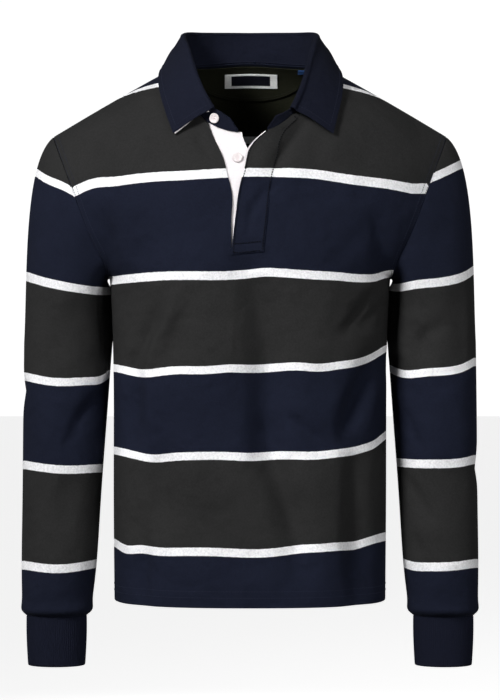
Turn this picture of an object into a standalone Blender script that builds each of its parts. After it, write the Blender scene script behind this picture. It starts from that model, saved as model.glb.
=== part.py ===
"""Long-sleeved striped jersey polo sweater, filled out as if worn, with nobody in it.

Metres, +Z up. The front faces -Y and +X is the wearer's left. The origin lies between the two
points where the shoulder seams meet the neck, a little below them, where a wearer holds it up.

Each piece of cloth is a sheet: a grid of points on its outer face. A wall is made from it by
moving the points inward, and pieces that are sewn together share their seam points, then draw
back from them by half of SEAM_GAP each.
"""

import math

import bpy
import numpy as np
from mathutils.kdtree import KDTree

# ---- cloth
JERSEY = 0.0020  # front, back and sleeves
TWILL = 0.0018  # collar leaf and stand
FACING = 0.0012  # undercollar, placket strips and neck patch
RIB = 0.0026  # cuffs, folded double
LABEL_CLOTH = 0.0010
SEAM_GAP = 0.0003
LAY_GAP = 0.0005  # between a strip and the panel that it lies on
UNDER_GAP = 0.0008  # behind the coarser facets of a panel

# ---- driving sizes
HEM_Z = -0.676
ARMPIT_Z = -0.262
CUFF_SEAM_Z = -0.6965
CUFF_END_Z = -0.7615
SHOULDER_X = 0.2555
NECK_X = 0.088
SLIT_FOOT_X = -0.0230  # free edge of the closed placket
PLACKET_WIDTH = 0.0410
UNDER_LAP = 0.010  # of the under placket behind the left edge of the slit
STAND_LEFT_X = -0.0150  # where the collar stand ends on each side of the slit
COLLAR_ROLL = 0.0040  # radius of the leaf where it folds over the stand
LEAF_HEIGHT = 0.0065  # least height of the leaf's outer face over the body
LEAF_BOW = 0.0025  # bulge of the leaf over the neck seam
LEAF_FLARE = 0.5
UNDERCOLLAR_INSET = 0.0015
UNDERCOLLAR_SHOWS = 0.0020  # past the leaf's front edge
UNDER_TOP_DROP = 0.0008  # of the under placket's top below the neckline, in levels
BUTTON_RADIUS = 0.0064
BUTTON_THICK = 0.0024
BUTTON_GAP = 0.0007  # over the cloth
COLLAR_BUTTON = (-0.0444, -0.0640)  # x and z of the middle
PLACKET_BUTTON = (-0.0156, -0.1144)
BUTTON_SIDES = 20
# Radius and height of a turned button, in shares of its own, from the middle of its back.
BUTTON_PROFILE = (
    (0.0, 0.10),
    (0.55, 0.10),
    (0.92, 0.0),
    (1.0, 0.28),
    (0.97, 0.72),
    (0.84, 0.98),
    (0.72, 0.90),
    (0.60, 0.72),
    (0.0, 0.72),
)
PATCH_DROP = 0.055  # depth of the half-moon inside the back
PATCH_GAP = 0.0012
PATCH_TOP = 0.0035  # below the neck seam
PATCH_INSET = 1.5  # columns of the back between the half-moon's ends and the neck's corners
LABEL_GAP = 0.0005
LABEL = dict(sides=(0.037, -0.034), drops=(0.0115, 0.0340))  # lengths below the half-moon's top
SIZE_TAB = dict(sides=(0.0697, 0.0620), drops=(0.0020, 0.0090))

# ---- levels of the body: v runs from 0 at the hem to 1 on the shoulder ridge
ARMPIT_V = 0.60
EASE_FROM_V = 0.40  # above it the rows sink towards the neckline
HIP_T = 0.44  # where the column that ends at the side of the neck starts, at the hem

# Side seam, up to the armpit.
SIDE_SEAM = dict(
    v=(0.00, 0.16, 0.32, 0.48, 0.56, 0.60),
    x=(0.1755, 0.1765, 0.1765, 0.1775, 0.1800, 0.1825),
    z=(HEM_Z, -0.560, -0.450, -0.345, -0.290, ARMPIT_Z),
)
# Armhole seam, once round from the armpit up the front to the shoulder and down the back.
ARMHOLE = dict(
    turn=(0.000, 0.075, 0.160, 0.250, 0.340, 0.425, 0.500, 0.575, 0.660, 0.750, 0.840, 0.925, 1.000),
    x=(0.1825, 0.1835, 0.1880, 0.2055, 0.2240, 0.2440, SHOULDER_X,
       0.2430, 0.2250, 0.2080, 0.1920, 0.1840, 0.1825),
    y=(0.000, -0.034, -0.062, -0.072, -0.062, -0.036, 0.003, 0.045, 0.073, 0.080, 0.066, 0.036, 0.000),
    z=(ARMPIT_Z, -0.2575, -0.2400, -0.2030, -0.1560, -0.1060, -0.0770,
       -0.1000, -0.1440, -0.1940, -0.2340, -0.2560, ARMPIT_Z),
)
# Cross-sections: the point on the centre line, how square the arc to the side is, how much of
# a quarter turn it makes, and the power of x with which it sinks or rises to the side.
FRONT_SECTIONS = dict(
    v=(0.00, 0.16, 0.32, 0.48, 0.60, 0.70, 0.80, 0.90, 0.95, 1.00),
    z=(HEM_Z, -0.560, -0.450, -0.342, -0.250, -0.185, -0.113, -0.035, 0.010, 0.0615),
    y=(-0.128, -0.131, -0.131, -0.133, -0.136, -0.134, -0.125, -0.098, -0.068, 0.003),
    square=(2.6, 2.6, 2.6, 2.6, 2.5, 2.4, 2.3, 2.2, 2.1, 2.0),
    turn=(1.00, 1.00, 1.00, 1.00, 0.97, 0.86, 0.74, 0.68, 0.66, 0.66),
    power=(2.0, 2.0, 2.0, 2.0, 2.0, 2.0, 2.0, 1.9, 1.6, 1.1),
)
BACK_SECTIONS = dict(
    v=(0.00, 0.16, 0.32, 0.48, 0.60, 0.70, 0.80, 0.90, 0.95, 1.00),
    z=(HEM_Z, -0.560, -0.450, -0.342, -0.250, -0.180, -0.105, -0.022, 0.024, 0.0615),
    y=(0.120, 0.120, 0.114, 0.118, 0.127, 0.130, 0.125, 0.104, 0.077, 0.003),
    square=(2.6, 2.6, 2.6, 2.5, 2.4, 2.3, 2.2, 2.1, 2.1, 2.0),
    turn=(1.00, 1.00, 1.00, 1.00, 0.97, 0.88, 0.78, 0.70, 0.66, 0.66),
    power=(2.0, 2.0, 2.0, 2.0, 2.0, 2.0, 2.0, 2.0, 1.8, 1.1),
)
NECK_FRONT_V = 0.840  # level of the neckline at the centre front
NECK_BACK_V = 0.955
NECK_ROUND = {"left": 0.56, "right": 0.90, "back": 0.60}  # small is a flat, square neckline

# Edges of the neck slit, height 0 at its foot and 1 at the neckline, metres from SLIT_FOOT_X.
SLIT = dict(
    height=(0.00, 0.08, 0.32, 0.46, 0.61, 0.74, 0.86, 0.93, 1.00),
    left=(0.0000, 0.0000, 0.0004, 0.0010, -0.0045, -0.0100, -0.0190, -0.0240, -0.0280),
    right=(0.0000, 0.0012, 0.0050, 0.0075, 0.0120, 0.0175, 0.0228, 0.0320, 0.0448),
)

# Sleeve sections below the cap. x and y of the middle, half widths across and front to back.
SLEEVE_SECTIONS = dict(
    z=(-0.345, -0.450, -0.560, -0.660, -0.6830, -0.6925, CUFF_SEAM_Z),
    x=(0.2362, 0.2405, 0.2447, 0.2487, 0.2497, 0.2500, 0.2503),
    y=(0.000, -0.002, -0.006, -0.010, -0.011, -0.0113, -0.0115),
    across=(0.0572, 0.0540, 0.0505, 0.0468, 0.0462, 0.0440, 0.0390),
    deep=(0.0620, 0.0570, 0.0510, 0.0440, 0.0425, 0.0390, 0.0300),
)
CUFF_ROWS_Z = (CUFF_SEAM_Z, -0.712, -0.730, -0.746, CUFF_END_Z)
CUFF_SECTIONS = dict(
    z=(CUFF_SEAM_Z, -0.715, CUFF_END_Z),
    x=(0.2503, 0.2503, 0.2503),
    y=(-0.0115, -0.0115, -0.0115),
    across=(0.0390, 0.0391, 0.0370),
    deep=(0.0300, 0.0298, 0.0275),
)
# How the sleeve leaves the armhole, a quarter of the way round at a time from the armpit.
CAP_START = dict(
    turn=(0.00, 0.25, 0.50, 0.75, 1.00),
    out=(1.00, 0.62, 0.80, 0.62, 1.00),
    down=(-0.35, 0.78, 0.60, 0.78, -0.35),
    reach=(0.028, 0.110, 0.150, 0.110, 0.028),
)
CAP_ARRIVAL = (0.05, 0.9)  # its direction where it becomes a tube: across and down, by its depth
SLEEVE_ROUND = 0.34  # about once round the sleeve, metres

# Fold of the collar, c from 0 at the centre back to 1 at the front end of the leaf.
COLLAR_FOLD = dict(
    c=(0.00, 0.13, 0.26, 0.34, 0.41, 0.50, 0.60, 0.70, 0.80, 0.90, 1.00),
    x=(0.0000, 0.0345, 0.0665, 0.0780, 0.0850, 0.0868, 0.0830, 0.0768, 0.0707, 0.0625, 0.0488),
    y=(0.0700, 0.0650, 0.0495, 0.0365, 0.0200, -0.0030, -0.0360, -0.0660, -0.0900, -0.1070, -0.1180),
    z=(0.0678, 0.0674, 0.0656, 0.0642, 0.0612, 0.0550, 0.0440, 0.0250, 0.0025, -0.0225, -0.0510),
)
LEAF_EDGE = dict(
    c=(0.00, 0.13, 0.26, 0.38, 0.50, 0.60, 0.72, 0.85, 1.00),
    x=(0.0000, 0.0340, 0.0680, 0.0960, 0.1125, 0.1155, 0.1155, 0.1110, 0.0985),
    y=(0.1130, 0.1100, 0.0950, 0.0640, 0.0230, -0.0060, -0.0370, -0.0710, -0.1020),
    z=(0.0060, 0.0070, 0.0090, 0.0115, 0.0105, 0.0040, -0.0120, -0.0445, -0.0860),
)
COLLAR_LEAN = 0.0042  # the open collar's front ends lie this far to +X
# Heights of the free ends of the stand, from where the leaf stops to the tip.
STAND_END_LEFT = (0.0215, 0.0205, 0.0165, 0.0040)
STAND_END_RIGHT = (0.0085, 0.0110, 0.0140, 0.0030)
STAND_END_UPRIGHT = 1.5  # how much those ends stand straight up
LEAF_OVER = (0.25, 0.65)  # where along its drop the leaf may pass over the neck seam
CLEAR_REACH = 0.006  # sideways distance at which the body's surface still counts as below

# ---- grids
SIDE_ROWS = 15
ARM_ROWS_FRONT = (
    0.60, 0.624, 0.6475, 0.6590, 0.700, 0.740, 0.775, 0.810, 0.850, 0.890, 0.930, 0.967, 1.00,
)
BOX_ROW = SIDE_ROWS + 2
SLIT_ROW = SIDE_ROWS + 3
ARM_ROWS_BACK = (0.60, 0.632, 0.668, 0.706, 0.746, 0.786, 0.826, 0.864, 0.899, 0.929, 0.955, 0.978, 1.00)
SHOULDER_COLUMNS = 8
NECK_COLUMNS_LEFT = 7
NECK_COLUMNS_BACK = 7
PLACKET_COLUMNS = 3
NECK_COLUMNS_RIGHT = PLACKET_COLUMNS + 5
ROLL_ROWS = 6  # of the leaf, over the top of the stand
DROP_ROWS = 3  # then down to the neck seam
LIE_ROWS = 4  # and on to its edge
CAP_STEPS = (0.0, 0.05, 0.14, 0.27, 0.42, 0.58, 0.78, 1.0)
SLEEVE_ROWS_Z = (
    -0.375, -0.405, -0.435, -0.468, -0.500, -0.535, -0.570, -0.605, -0.640, -0.668,
    -0.6830, -0.6910, CUFF_SEAM_Z,
)
HALF_TURN = math.pi / 2

# ---- walls
MOST_MITRE = 1.5  # longest a mitred wall gets, by its cloth's thickness
DIAGONAL = np.array([0.61, 0.53, 0.59])  # an edge that points this way is split from its start

# ---- largest folds: a soft trough along a line of (x, z) points, metres
FRONT_FOLDS = (
    dict(line=((0.000, -0.275), (0.013, -0.345), (0.014, -0.450)), width=0.020, depth=0.005),
    dict(line=((0.020, -0.490), (0.052, -0.575), (0.060, -0.600)), width=0.016, depth=0.004),
    dict(line=((0.066, -0.080), (0.030, -0.128)), width=0.010, depth=0.003),
    dict(line=((0.160, -0.190), (0.170, -0.262)), width=0.010, depth=0.006),
    dict(line=((-0.180, -0.180), (-0.178, -0.255)), width=0.010, depth=0.005),
    dict(line=((0.150, -0.290), (0.120, -0.331)), width=0.012, depth=0.004),
    dict(line=((-0.070, -0.290), (-0.110, -0.360)), width=0.015, depth=-0.004),
    dict(line=((0.045, -0.435), (0.096, -0.472)), width=0.014, depth=0.004),
    dict(line=((0.136, -0.490), (0.136, -0.660)), width=0.012, depth=0.004),
    dict(line=((-0.114, -0.480), (-0.114, -0.560)), width=0.016, depth=0.003),
)
BACK_FOLDS = (
    dict(line=((0.010, -0.300), (-0.020, -0.430), (-0.010, -0.560)), width=0.024, depth=0.006),
    dict(line=((0.150, -0.230), (0.120, -0.330)), width=0.016, depth=0.005),
    dict(line=((-0.150, -0.230), (-0.126, -0.345)), width=0.016, depth=0.005),
    dict(line=((0.080, -0.440), (0.110, -0.600)), width=0.018, depth=0.004),
    dict(line=((-0.095, -0.470), (-0.120, -0.620)), width=0.018, depth=0.004),
)
# Sleeve folds: lines of (turn round the sleeve, z), turn 0.25 is its front; width in metres.
SLEEVE_FOLDS = {
    "left": (
        dict(line=((0.22, -0.310), (0.13, -0.365)), width=0.014, depth=0.005),
        dict(line=((0.10, -0.420), (0.30, -0.465)), width=0.014, depth=0.004),
        dict(line=((0.10, -0.510), (0.30, -0.565)), width=0.014, depth=0.004),
        dict(line=((0.62, -0.400), (0.80, -0.470)), width=0.016, depth=0.004),
    ),
    "right": (
        dict(line=((0.32, -0.315), (0.22, -0.370)), width=0.014, depth=0.004),
        dict(line=((0.10, -0.410), (0.28, -0.455)), width=0.014, depth=0.004),
        dict(line=((0.16, -0.515), (0.30, -0.570)), width=0.016, depth=0.004),
        dict(line=((0.62, -0.405), (0.80, -0.475)), width=0.016, depth=0.004),
    ),
}

# ---- colours: linear base colour and roughness
COLOURS = {
    "olive_jersey": ((0.030, 0.031, 0.028), 0.90),
    "navy_twill": ((0.010, 0.013, 0.026), 0.85),
    "navy_rib": ((0.010, 0.013, 0.026), 0.90),
    "white_facing": ((0.850, 0.850, 0.860), 0.80),
    "striped_strip": ((0.016, 0.018, 0.026), 0.85),
    "button": ((0.820, 0.800, 0.800), 0.35),
    "blue_tab": ((0.030, 0.060, 0.160), 0.70),
}


# ---------------------------------------------------------------- curves


def unit(vectors):
    return vectors / np.maximum(np.linalg.norm(vectors, axis=-1, keepdims=True), 1e-12)


def spline(knots, values, at):
    """Natural cubic spline through the knots, read at the places `at`."""
    knots = np.asarray(knots, float)
    values = np.asarray(values, float)
    at = np.asarray(at, float)
    step = np.diff(knots)
    slope = np.diff(values) / step
    count = len(knots)
    matrix = np.eye(count)
    right = np.zeros(count)
    for i in range(1, count - 1):
        matrix[i, i - 1 : i + 2] = step[i - 1], 2 * (step[i - 1] + step[i]), step[i]
        right[i] = 6 * (slope[i] - slope[i - 1])
    bend = np.linalg.solve(matrix, right)
    i = np.clip(np.searchsorted(knots, at, "right") - 1, 0, count - 2)
    past = at - knots[i]
    left = knots[i + 1] - at
    cubic = (bend[i] * left**3 + bend[i + 1] * past**3) / (6 * step[i])
    low = (values[i] / step[i] - bend[i] * step[i] / 6) * left
    high = (values[i + 1] / step[i] - bend[i + 1] * step[i] / 6) * past
    return cubic + low + high


def curve(table, key, at):
    """The x, y and z columns of a table as one curve over its `key` column."""
    return np.stack([spline(table[key], table[axis], at) for axis in "xyz"], -1)


def hermite(start, leave, end, arrive, h):
    """The curve that leaves start and arrives at end in the given directions, at h from 0 to 1."""
    return (
        (2 * h**3 - 3 * h**2 + 1) * start
        + (h**3 - 2 * h**2 + h) * leave
        + (3 * h**2 - 2 * h**3) * end
        + (h**3 - h**2) * arrive
    )


def size(vectors):
    return np.linalg.norm(vectors, axis=-1, keepdims=True)


def along(points):
    """Length walked from the first point to each."""
    steps = np.linalg.norm(np.diff(points, axis=0), axis=1)
    return np.concatenate([[0.0], np.cumsum(steps)])


def trough(places, folds):
    """Depth of all the folds at each (across, up) place."""
    total = np.zeros(places.shape[:-1])
    for fold in folds:
        line = np.asarray(fold["line"], float)
        lengths = along(line)
        nearest = np.full(total.shape, np.inf)
        share = np.zeros(total.shape)
        for a, b, start in zip(line, line[1:], lengths):
            way = b - a
            t = np.clip(((places - a) @ way) / (way @ way), 0, 1)
            gap = np.linalg.norm(places - a - t[..., None] * way, axis=-1)
            here = (start + t * np.linalg.norm(way)) / lengths[-1]
            share = np.where(gap < nearest, here, share)
            nearest = np.minimum(gap, nearest)
        fade = np.sin(np.pi * np.clip(0.08 + 0.84 * share, 0, 1)) ** 0.6
        total += fold["depth"] * fade * np.exp(-((nearest / fold["width"]) ** 2))
    return total


# ---------------------------------------------------------------- body form


def side_edge(v, facing):
    """The panel's side: the side seam up to the armpit, then the armhole seam."""
    v = np.asarray(v, float)
    low = np.clip(v, 0, ARMPIT_V)
    seam = np.stack(
        [
            spline(SIDE_SEAM["v"], SIDE_SEAM["x"], low),
            np.zeros_like(v),
            spline(SIDE_SEAM["v"], SIDE_SEAM["z"], low),
        ],
        -1,
    )
    half_round = np.clip((v - ARMPIT_V) / (1 - ARMPIT_V), 0, 1) / 2
    turn = half_round if facing < 0 else 1 - half_round
    return np.where((v > ARMPIT_V)[..., None], curve(ARMHOLE, "turn", turn), seam)


def body(t, v, sections, facing):
    """A point of the front or back form: t from -1 to 1 across, v from 0 to 1 up."""
    t = np.asarray(t, float)
    v = np.asarray(v, float)
    row = {key: spline(sections["v"], sections[key], v) for key in sections if key != "v"}
    side = side_edge(v, facing)

    def arc(angle):
        across, deep = np.sin(angle), np.cos(angle)
        radius = (across ** row["square"] + deep ** row["square"]) ** (-1 / row["square"])
        return radius * across, radius * deep

    end = np.minimum(row["turn"], 0.9999) * HALF_TURN
    across, deep = arc(np.abs(t) * end)
    full_across, full_deep = arc(end)
    across = across / full_across
    sink = (1 - deep) / (1 - full_deep)
    x = side[..., 0] * across * np.sign(t)
    y = row["y"] + (side[..., 1] - row["y"]) * sink
    z = row["z"] + (side[..., 2] - row["z"]) * across ** row["power"]
    return np.stack([x, y, z], -1)


def front_body(t, v):
    return body(t, v, FRONT_SECTIONS, -1.0)


def back_body(t, v):
    return body(t, v, BACK_SECTIONS, 1.0)


def t_at_x(x, v, form):
    """The t at which the form has this x, on the level v."""
    trial = np.linspace(-0.6, 0.6, 241)
    return np.array([np.interp(a, form(trial, np.full(241, b))[:, 0], trial) for a, b in zip(x, v)])


NECK_T = float(t_at_x([NECK_X], [1.0], front_body)[0])


def neck_level(t, neck_v, roundness):
    """Level of the neckline at t, 1 from the side of the neck outward."""
    share = np.clip(np.abs(t) / NECK_T, 0, 1)
    return 1 - (1 - neck_v) * (1 - share**2) ** (roundness / 2)


def level(v, top):
    """The rows' own v, which sinks towards a neckline that lies below the ridge."""
    lift = np.clip((v - EASE_FROM_V) / (1 - EASE_FROM_V), 0, 1)
    return v - (1 - top) * lift**2


def spread(anchors, rows, top_level):
    """Columns between anchor lines.

    anchors is a list of (column number, t at each row). Between two of them the columns are
    even at the hem, and even along the neckline or shoulder at the top.
    """
    count = anchors[-1][0] + 1
    t = np.zeros((len(rows), count))
    for (a, t_a), (b, t_b) in zip(anchors, anchors[1:]):
        dense = np.linspace(t_a[-1], t_b[-1], 200)
        lengths = along(top_level(dense))
        even = np.linspace(0, 1, b - a + 1)
        at_top = np.interp(even * lengths[-1], lengths, np.linspace(0, 1, 200))
        share = even + (at_top - even) * (rows[:, None] ** 2)
        t[:, a : b + 1] = t_a[:, None] + (t_b - t_a)[:, None] * share
    return t


def panel_rows(arm_rows):
    """v of a panel's rows: even up to the armpit, then the given ones."""
    return np.array(tuple(np.linspace(0, ARMPIT_V, SIDE_ROWS + 1)[:-1]) + arm_rows)


def slit_line(rows, side):
    """t of one edge of the neck slit at each row; below its foot both edges are one line."""
    foot = level(np.array([rows[SLIT_ROW]]), NECK_FRONT_V)[0]
    levels = level(rows, NECK_FRONT_V)
    top = levels[-1]
    height = np.clip((levels - foot) / (top - foot), 0, 1)
    x = SLIT_FOOT_X + spline(SLIT["height"], SLIT[side], height)
    return x, t_at_x(x, levels, front_body)


def front_half(side):
    """t and v of half of the front from the slit out to the side, by row and column."""
    rows = panel_rows(ARM_ROWS_FRONT)
    sign = -1.0 if side == "left" else 1.0
    roundness = NECK_ROUND[side]
    neck = NECK_COLUMNS_LEFT if side == "left" else NECK_COLUMNS_RIGHT
    edge_x, edge_t = slit_line(rows, side)

    def top_curve(t):
        return front_body(t, neck_level(t, NECK_FRONT_V, roundness))

    neck_t = sign * (HIP_T + (NECK_T - HIP_T) * rows**6)
    side_t = np.full(len(rows), sign)
    anchors = [(0, edge_t)]
    if side == "right":
        seam_x = edge_x + PLACKET_WIDTH
        seam_t = t_at_x(seam_x, level(rows, NECK_FRONT_V), front_body)
        seam_t[-1] = placket_top(edge_t[-1], top_curve)
        anchors.append((PLACKET_COLUMNS, seam_t))
    anchors += [(neck, neck_t), (neck + SHOULDER_COLUMNS, side_t)]
    t = spread(anchors, rows, top_curve)
    v = level(rows[:, None], neck_level(t[-1], NECK_FRONT_V, roundness)[None, :])
    v[-1] = neck_level(t[-1], NECK_FRONT_V, roundness)
    return t, v


def placket_top(edge_t, top_curve):
    """t where the placket's seam meets the neckline, PLACKET_WIDTH along from its edge."""
    trial = np.linspace(edge_t, NECK_T, 200)
    return float(np.interp(PLACKET_WIDTH, along(top_curve(trial)), trial))


def back_half(sign):
    """t and v of half of the back from its centre line out to the side, by row and column."""
    rows = panel_rows(ARM_ROWS_BACK)

    def top_curve(t):
        return back_body(t, neck_level(t, NECK_BACK_V, NECK_ROUND["back"]))

    neck_t = sign * (HIP_T + (NECK_T - HIP_T) * rows**3)
    anchors = [
        (0, np.zeros(len(rows))),
        (NECK_COLUMNS_BACK, neck_t),
        (NECK_COLUMNS_BACK + SHOULDER_COLUMNS, np.full(len(rows), sign)),
    ]
    t = spread(anchors, rows, top_curve)
    v = level(rows[:, None], neck_level(t[-1], NECK_BACK_V, NECK_ROUND["back"])[None, :])
    v[-1] = neck_level(t[-1], NECK_BACK_V, NECK_ROUND["back"])
    return t, v


def normal_of(form, t, v, facing):
    """Unit outward normals of the front form (facing -1) or the back form (facing 1)."""
    tiny = 1e-4
    low = np.clip(v - tiny, 0, 1)
    high = np.clip(v + tiny, 0, 1)
    across = form(t + tiny, v) - form(t - tiny, v)
    up = form(t, high) - form(t, low)
    return unit(np.cross(across, up)) * -facing


def folded(form, t, v, folds, facing):
    """The form with its folds pressed in, fading out at its seams."""
    points = form(t, v)
    edge = np.clip((1 - np.abs(t)) / 0.06, 0, 1) * np.clip((0.995 - v) / 0.04, 0, 1)
    press = trough(points[..., [0, 2]], folds) * edge
    return points - normal_of(form, t, v, facing) * press[..., None]


def front_points(t, v):
    return folded(front_body, t, v, FRONT_FOLDS, -1.0)


def back_points(t, v):
    return folded(back_body, t, v, BACK_FOLDS, 1.0)


# ---------------------------------------------------------------- sheets and walls


class Sheet:
    """Outer points and faces of one piece of cloth, faces counter-clockwise from outside."""

    def __init__(self, name, grid, thick, colour, flip=False, closed=False):
        rows, columns = grid.shape[:2]
        self.name = name
        self.thick = thick
        self.colour = colour
        self.points = grid.reshape(-1, 3).copy()
        number = np.arange(rows * columns).reshape(rows, columns)
        if closed:
            number = np.concatenate([number, number[:, :1]], 1)
        self.faces = quads(number, flip)
        self.settle()

    def settle(self):
        """Works out the normals, and marks the points before any is drawn back."""
        self.normals = point_normals(self.points, self.faces)
        self.inward = -self.normals

    def add(self, grid, same):
        """Joins another grid to this sheet; same maps its point numbers to ours."""
        start = len(self.points)
        rows, columns = grid.shape[:2]
        number = np.arange(rows * columns) + start
        for theirs, ours in same.items():
            number[theirs] = ours
        self.points = np.concatenate([self.points, grid.reshape(-1, 3)])
        self.faces += quads(number.reshape(rows, columns), False)
        self.settle()


def quads(number, flip):
    faces = []
    for r in range(number.shape[0] - 1):
        for c in range(number.shape[1] - 1):
            face = [number[r, c], number[r, c + 1], number[r + 1, c + 1], number[r + 1, c]]
            faces.append(face[::-1] if flip else face)
    return faces


def point_normals(points, faces):
    normals = np.zeros_like(points)
    corners = np.asarray(faces)
    a, b, c, d = (points[corners[:, i]] for i in range(4))
    face_normals = np.cross(c - a, d - b)
    for i in range(4):
        np.add.at(normals, corners[:, i], face_normals)
    return unit(normals)


def open_edges(faces):
    """Edges that only one face uses, each in that face's direction."""
    used = {}
    for face in faces:
        for a, b in zip(face, face[1:] + face[:1]):
            used[(a, b)] = True
    return [(a, b) for a, b in used if (b, a) not in used]


def mitre(groups):
    """Where sheets meet, makes their walls end on the plane that halves the seam.

    The sheets of one group count as one side of a seam with another group.
    """
    found = {}
    for group, sheets in enumerate(groups):
        for sheet in sheets:
            for i in {k for edge in open_edges(sheet.faces) for k in edge}:
                key = tuple(np.round(sheet.points[i] / 2e-5).astype(int))
                found.setdefault(key, {}).setdefault(group, []).append((sheet, i))
    for meeting in found.values():
        if sum(len(side) for side in meeting.values()) < 2:
            continue
        sides = [unit(sum(sheet.normals[i] for sheet, i in side)) for side in meeting.values()]
        middle = unit(sum(sides))
        for side in meeting.values():
            for sheet, i in side:
                slant = max(float(sheet.normals[i] @ middle), 1 / MOST_MITRE)
                sheet.inward[i] = -middle / slant


def draw_back(sheet, distance):
    """Moves the open edges into the sheet by this distance."""
    edges = open_edges(sheet.faces)
    shift = np.zeros_like(sheet.points)
    for a, b in edges:
        way = unit(sheet.points[b] - sheet.points[a])
        for i in (a, b):
            into = np.cross(sheet.normals[i], way)
            shift[i] += into
    length = np.linalg.norm(shift, axis=1, keepdims=True)
    # A point with two edges in line gets 2 from them, and one at a corner gets less.
    corner = np.clip(length, 1.2, 2.0) / 2
    moved = unit(shift) * distance / corner
    sheet.points = sheet.points + np.where(length > 1e-9, moved, 0)


def wall(sheet):
    """Closed triangle mesh between the sheet and its inner face."""
    count = len(sheet.points)
    inner = sheet.points + sheet.inward * sheet.thick
    triangles = []
    for a, b, c, d in sheet.faces:
        triangles += [(a, b, c), (a, c, d)]
    triangles += [(c + count, b + count, a + count) for a, b, c in triangles]
    for a, b in open_edges(sheet.faces):
        # Both sheets of a seam get the same diagonal.
        if (sheet.points[a] - sheet.points[b]) @ DIAGONAL > 0:
            triangles += [(b, a, a + count), (b, a + count, b + count)]
        else:
            triangles += [(b, a, b + count), (a, a + count, b + count)]
    return np.concatenate([sheet.points, inner]), triangles


# ---------------------------------------------------------------- panels


def make_front():
    t_left, v_left = front_half("left")
    t_right, v_right = front_half("right")
    left = front_points(t_left, v_left)[:, ::-1]
    right = front_points(t_right, v_right)
    right[: SLIT_ROW + 1, 0] = left[: SLIT_ROW + 1, -1]
    sheet = Sheet("front", left, JERSEY, "olive_jersey")
    columns = left.shape[1]
    same = {r * right.shape[1]: r * columns + columns - 1 for r in range(SLIT_ROW + 1)}
    sheet.add(right, same)
    keep_used(sheet)
    return sheet


def keep_used(sheet):
    """Drops points that no face uses."""
    used = sorted({i for face in sheet.faces for i in face})
    renumber = {old: new for new, old in enumerate(used)}
    sheet.points = sheet.points[used]
    sheet.faces = [[renumber[i] for i in face] for face in sheet.faces]
    sheet.settle()


def make_back():
    t, v = back_half(1.0)
    t = np.concatenate([t[:, ::-1], -t[:, 1:]], 1)
    v = np.concatenate([v[:, ::-1], v[:, 1:]], 1)
    grid = back_points(t, v)
    return Sheet("back", grid, JERSEY, "olive_jersey"), grid


def ring(table, z, turn):
    """Points of an oval section of a sleeve or cuff at height z."""
    upward = {key: column[::-1] for key, column in table.items()}
    x, y, across, deep = (spline(upward["z"], upward[key], z) for key in ("x", "y", "across", "deep"))
    angle = 2 * math.pi * turn
    return np.stack([x - across * np.cos(angle), y - deep * np.sin(angle), z + 0 * angle], -1)


def armhole_turns():
    """The turn round the sleeve of each shared armhole point, from the armpit forward."""
    front = (np.array(ARM_ROWS_FRONT) - ARMPIT_V) / (1 - ARMPIT_V) / 2
    back = 1 - (np.array(ARM_ROWS_BACK) - ARMPIT_V) / (1 - ARMPIT_V) / 2
    return np.concatenate([front, back[::-1][1:-1]])


def sleeve_grid(side):
    """Points (row, turn) of the sleeve on +X, from the armhole down to the cuff seam."""
    turn = armhole_turns()
    start = curve(ARMHOLE, "turn", turn)
    below = ring(SLEEVE_SECTIONS, np.full_like(turn, SLEEVE_SECTIONS["z"][0]), turn)
    out, down, reach = (spline(CAP_START["turn"], CAP_START[key], turn) for key in ("out", "down", "reach"))
    leave = unit(np.stack([out, 0 * out, -down], -1)) * reach[:, None]
    depth = start[:, 2] - below[:, 2]
    arrive = np.stack([CAP_ARRIVAL[0] * depth, 0 * depth, -CAP_ARRIVAL[1] * depth], -1)
    rows = [hermite(start, leave, below, arrive, h) for h in CAP_STEPS]
    rows += [ring(SLEEVE_SECTIONS, np.full_like(turn, z), turn) for z in SLEEVE_ROWS_Z]
    grid = np.stack(rows)
    places = np.stack([np.broadcast_to(turn, grid.shape[:2]) * SLEEVE_ROUND, grid[..., 2]], -1)
    folds = [
        dict(fold, line=[(a * SLEEVE_ROUND, z) for a, z in fold["line"]]) for fold in SLEEVE_FOLDS[side]
    ]
    press = trough(places, folds)
    press[0] = 0
    press[-1] = 0
    middle = grid.mean(1, keepdims=True) * np.array([1, 1, 0]) + grid * np.array([0, 0, 1])
    return grid - unit(grid - middle) * press[..., None]


def cuff_grid():
    turn = armhole_turns()
    return np.stack([ring(CUFF_SECTIONS, np.full_like(turn, z), turn) for z in CUFF_ROWS_Z])


def mirrored(grid):
    return grid * np.array([-1.0, 1.0, 1.0])


# ---------------------------------------------------------------- collar


def neck_loop():
    """The neck seam and the body's normals along it, from the stand's left tip round the back."""
    end_t = t_at_x([STAND_LEFT_X], [NECK_FRONT_V], front_body)[0]
    t_left = front_half("left")[0][-1, : NECK_COLUMNS_LEFT + 1]
    t_right = front_half("right")[0][-1, : NECK_COLUMNS_RIGHT + 1]
    t_back = back_half(1.0)[0][-1, : NECK_COLUMNS_BACK + 1]
    lead = np.linspace(end_t, t_left[0], len(STAND_END_LEFT))[:-1]
    round_back = np.concatenate([-t_back[::-1], t_back[1:]])
    stretches = (
        (np.concatenate([lead, t_left]), front_body, -1.0, NECK_FRONT_V, NECK_ROUND["left"]),
        (round_back[1:-1], back_body, 1.0, NECK_BACK_V, NECK_ROUND["back"]),
        (t_right[::-1], front_body, -1.0, NECK_FRONT_V, NECK_ROUND["right"]),
    )
    points = []
    normals = []
    for t, form, facing, neck_v, roundness in stretches:
        v = neck_level(t, neck_v, roundness)
        points.append(form(t, v))
        normals.append(normal_of(form, t, v, facing))
    return np.concatenate(points), np.concatenate(normals)


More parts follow.
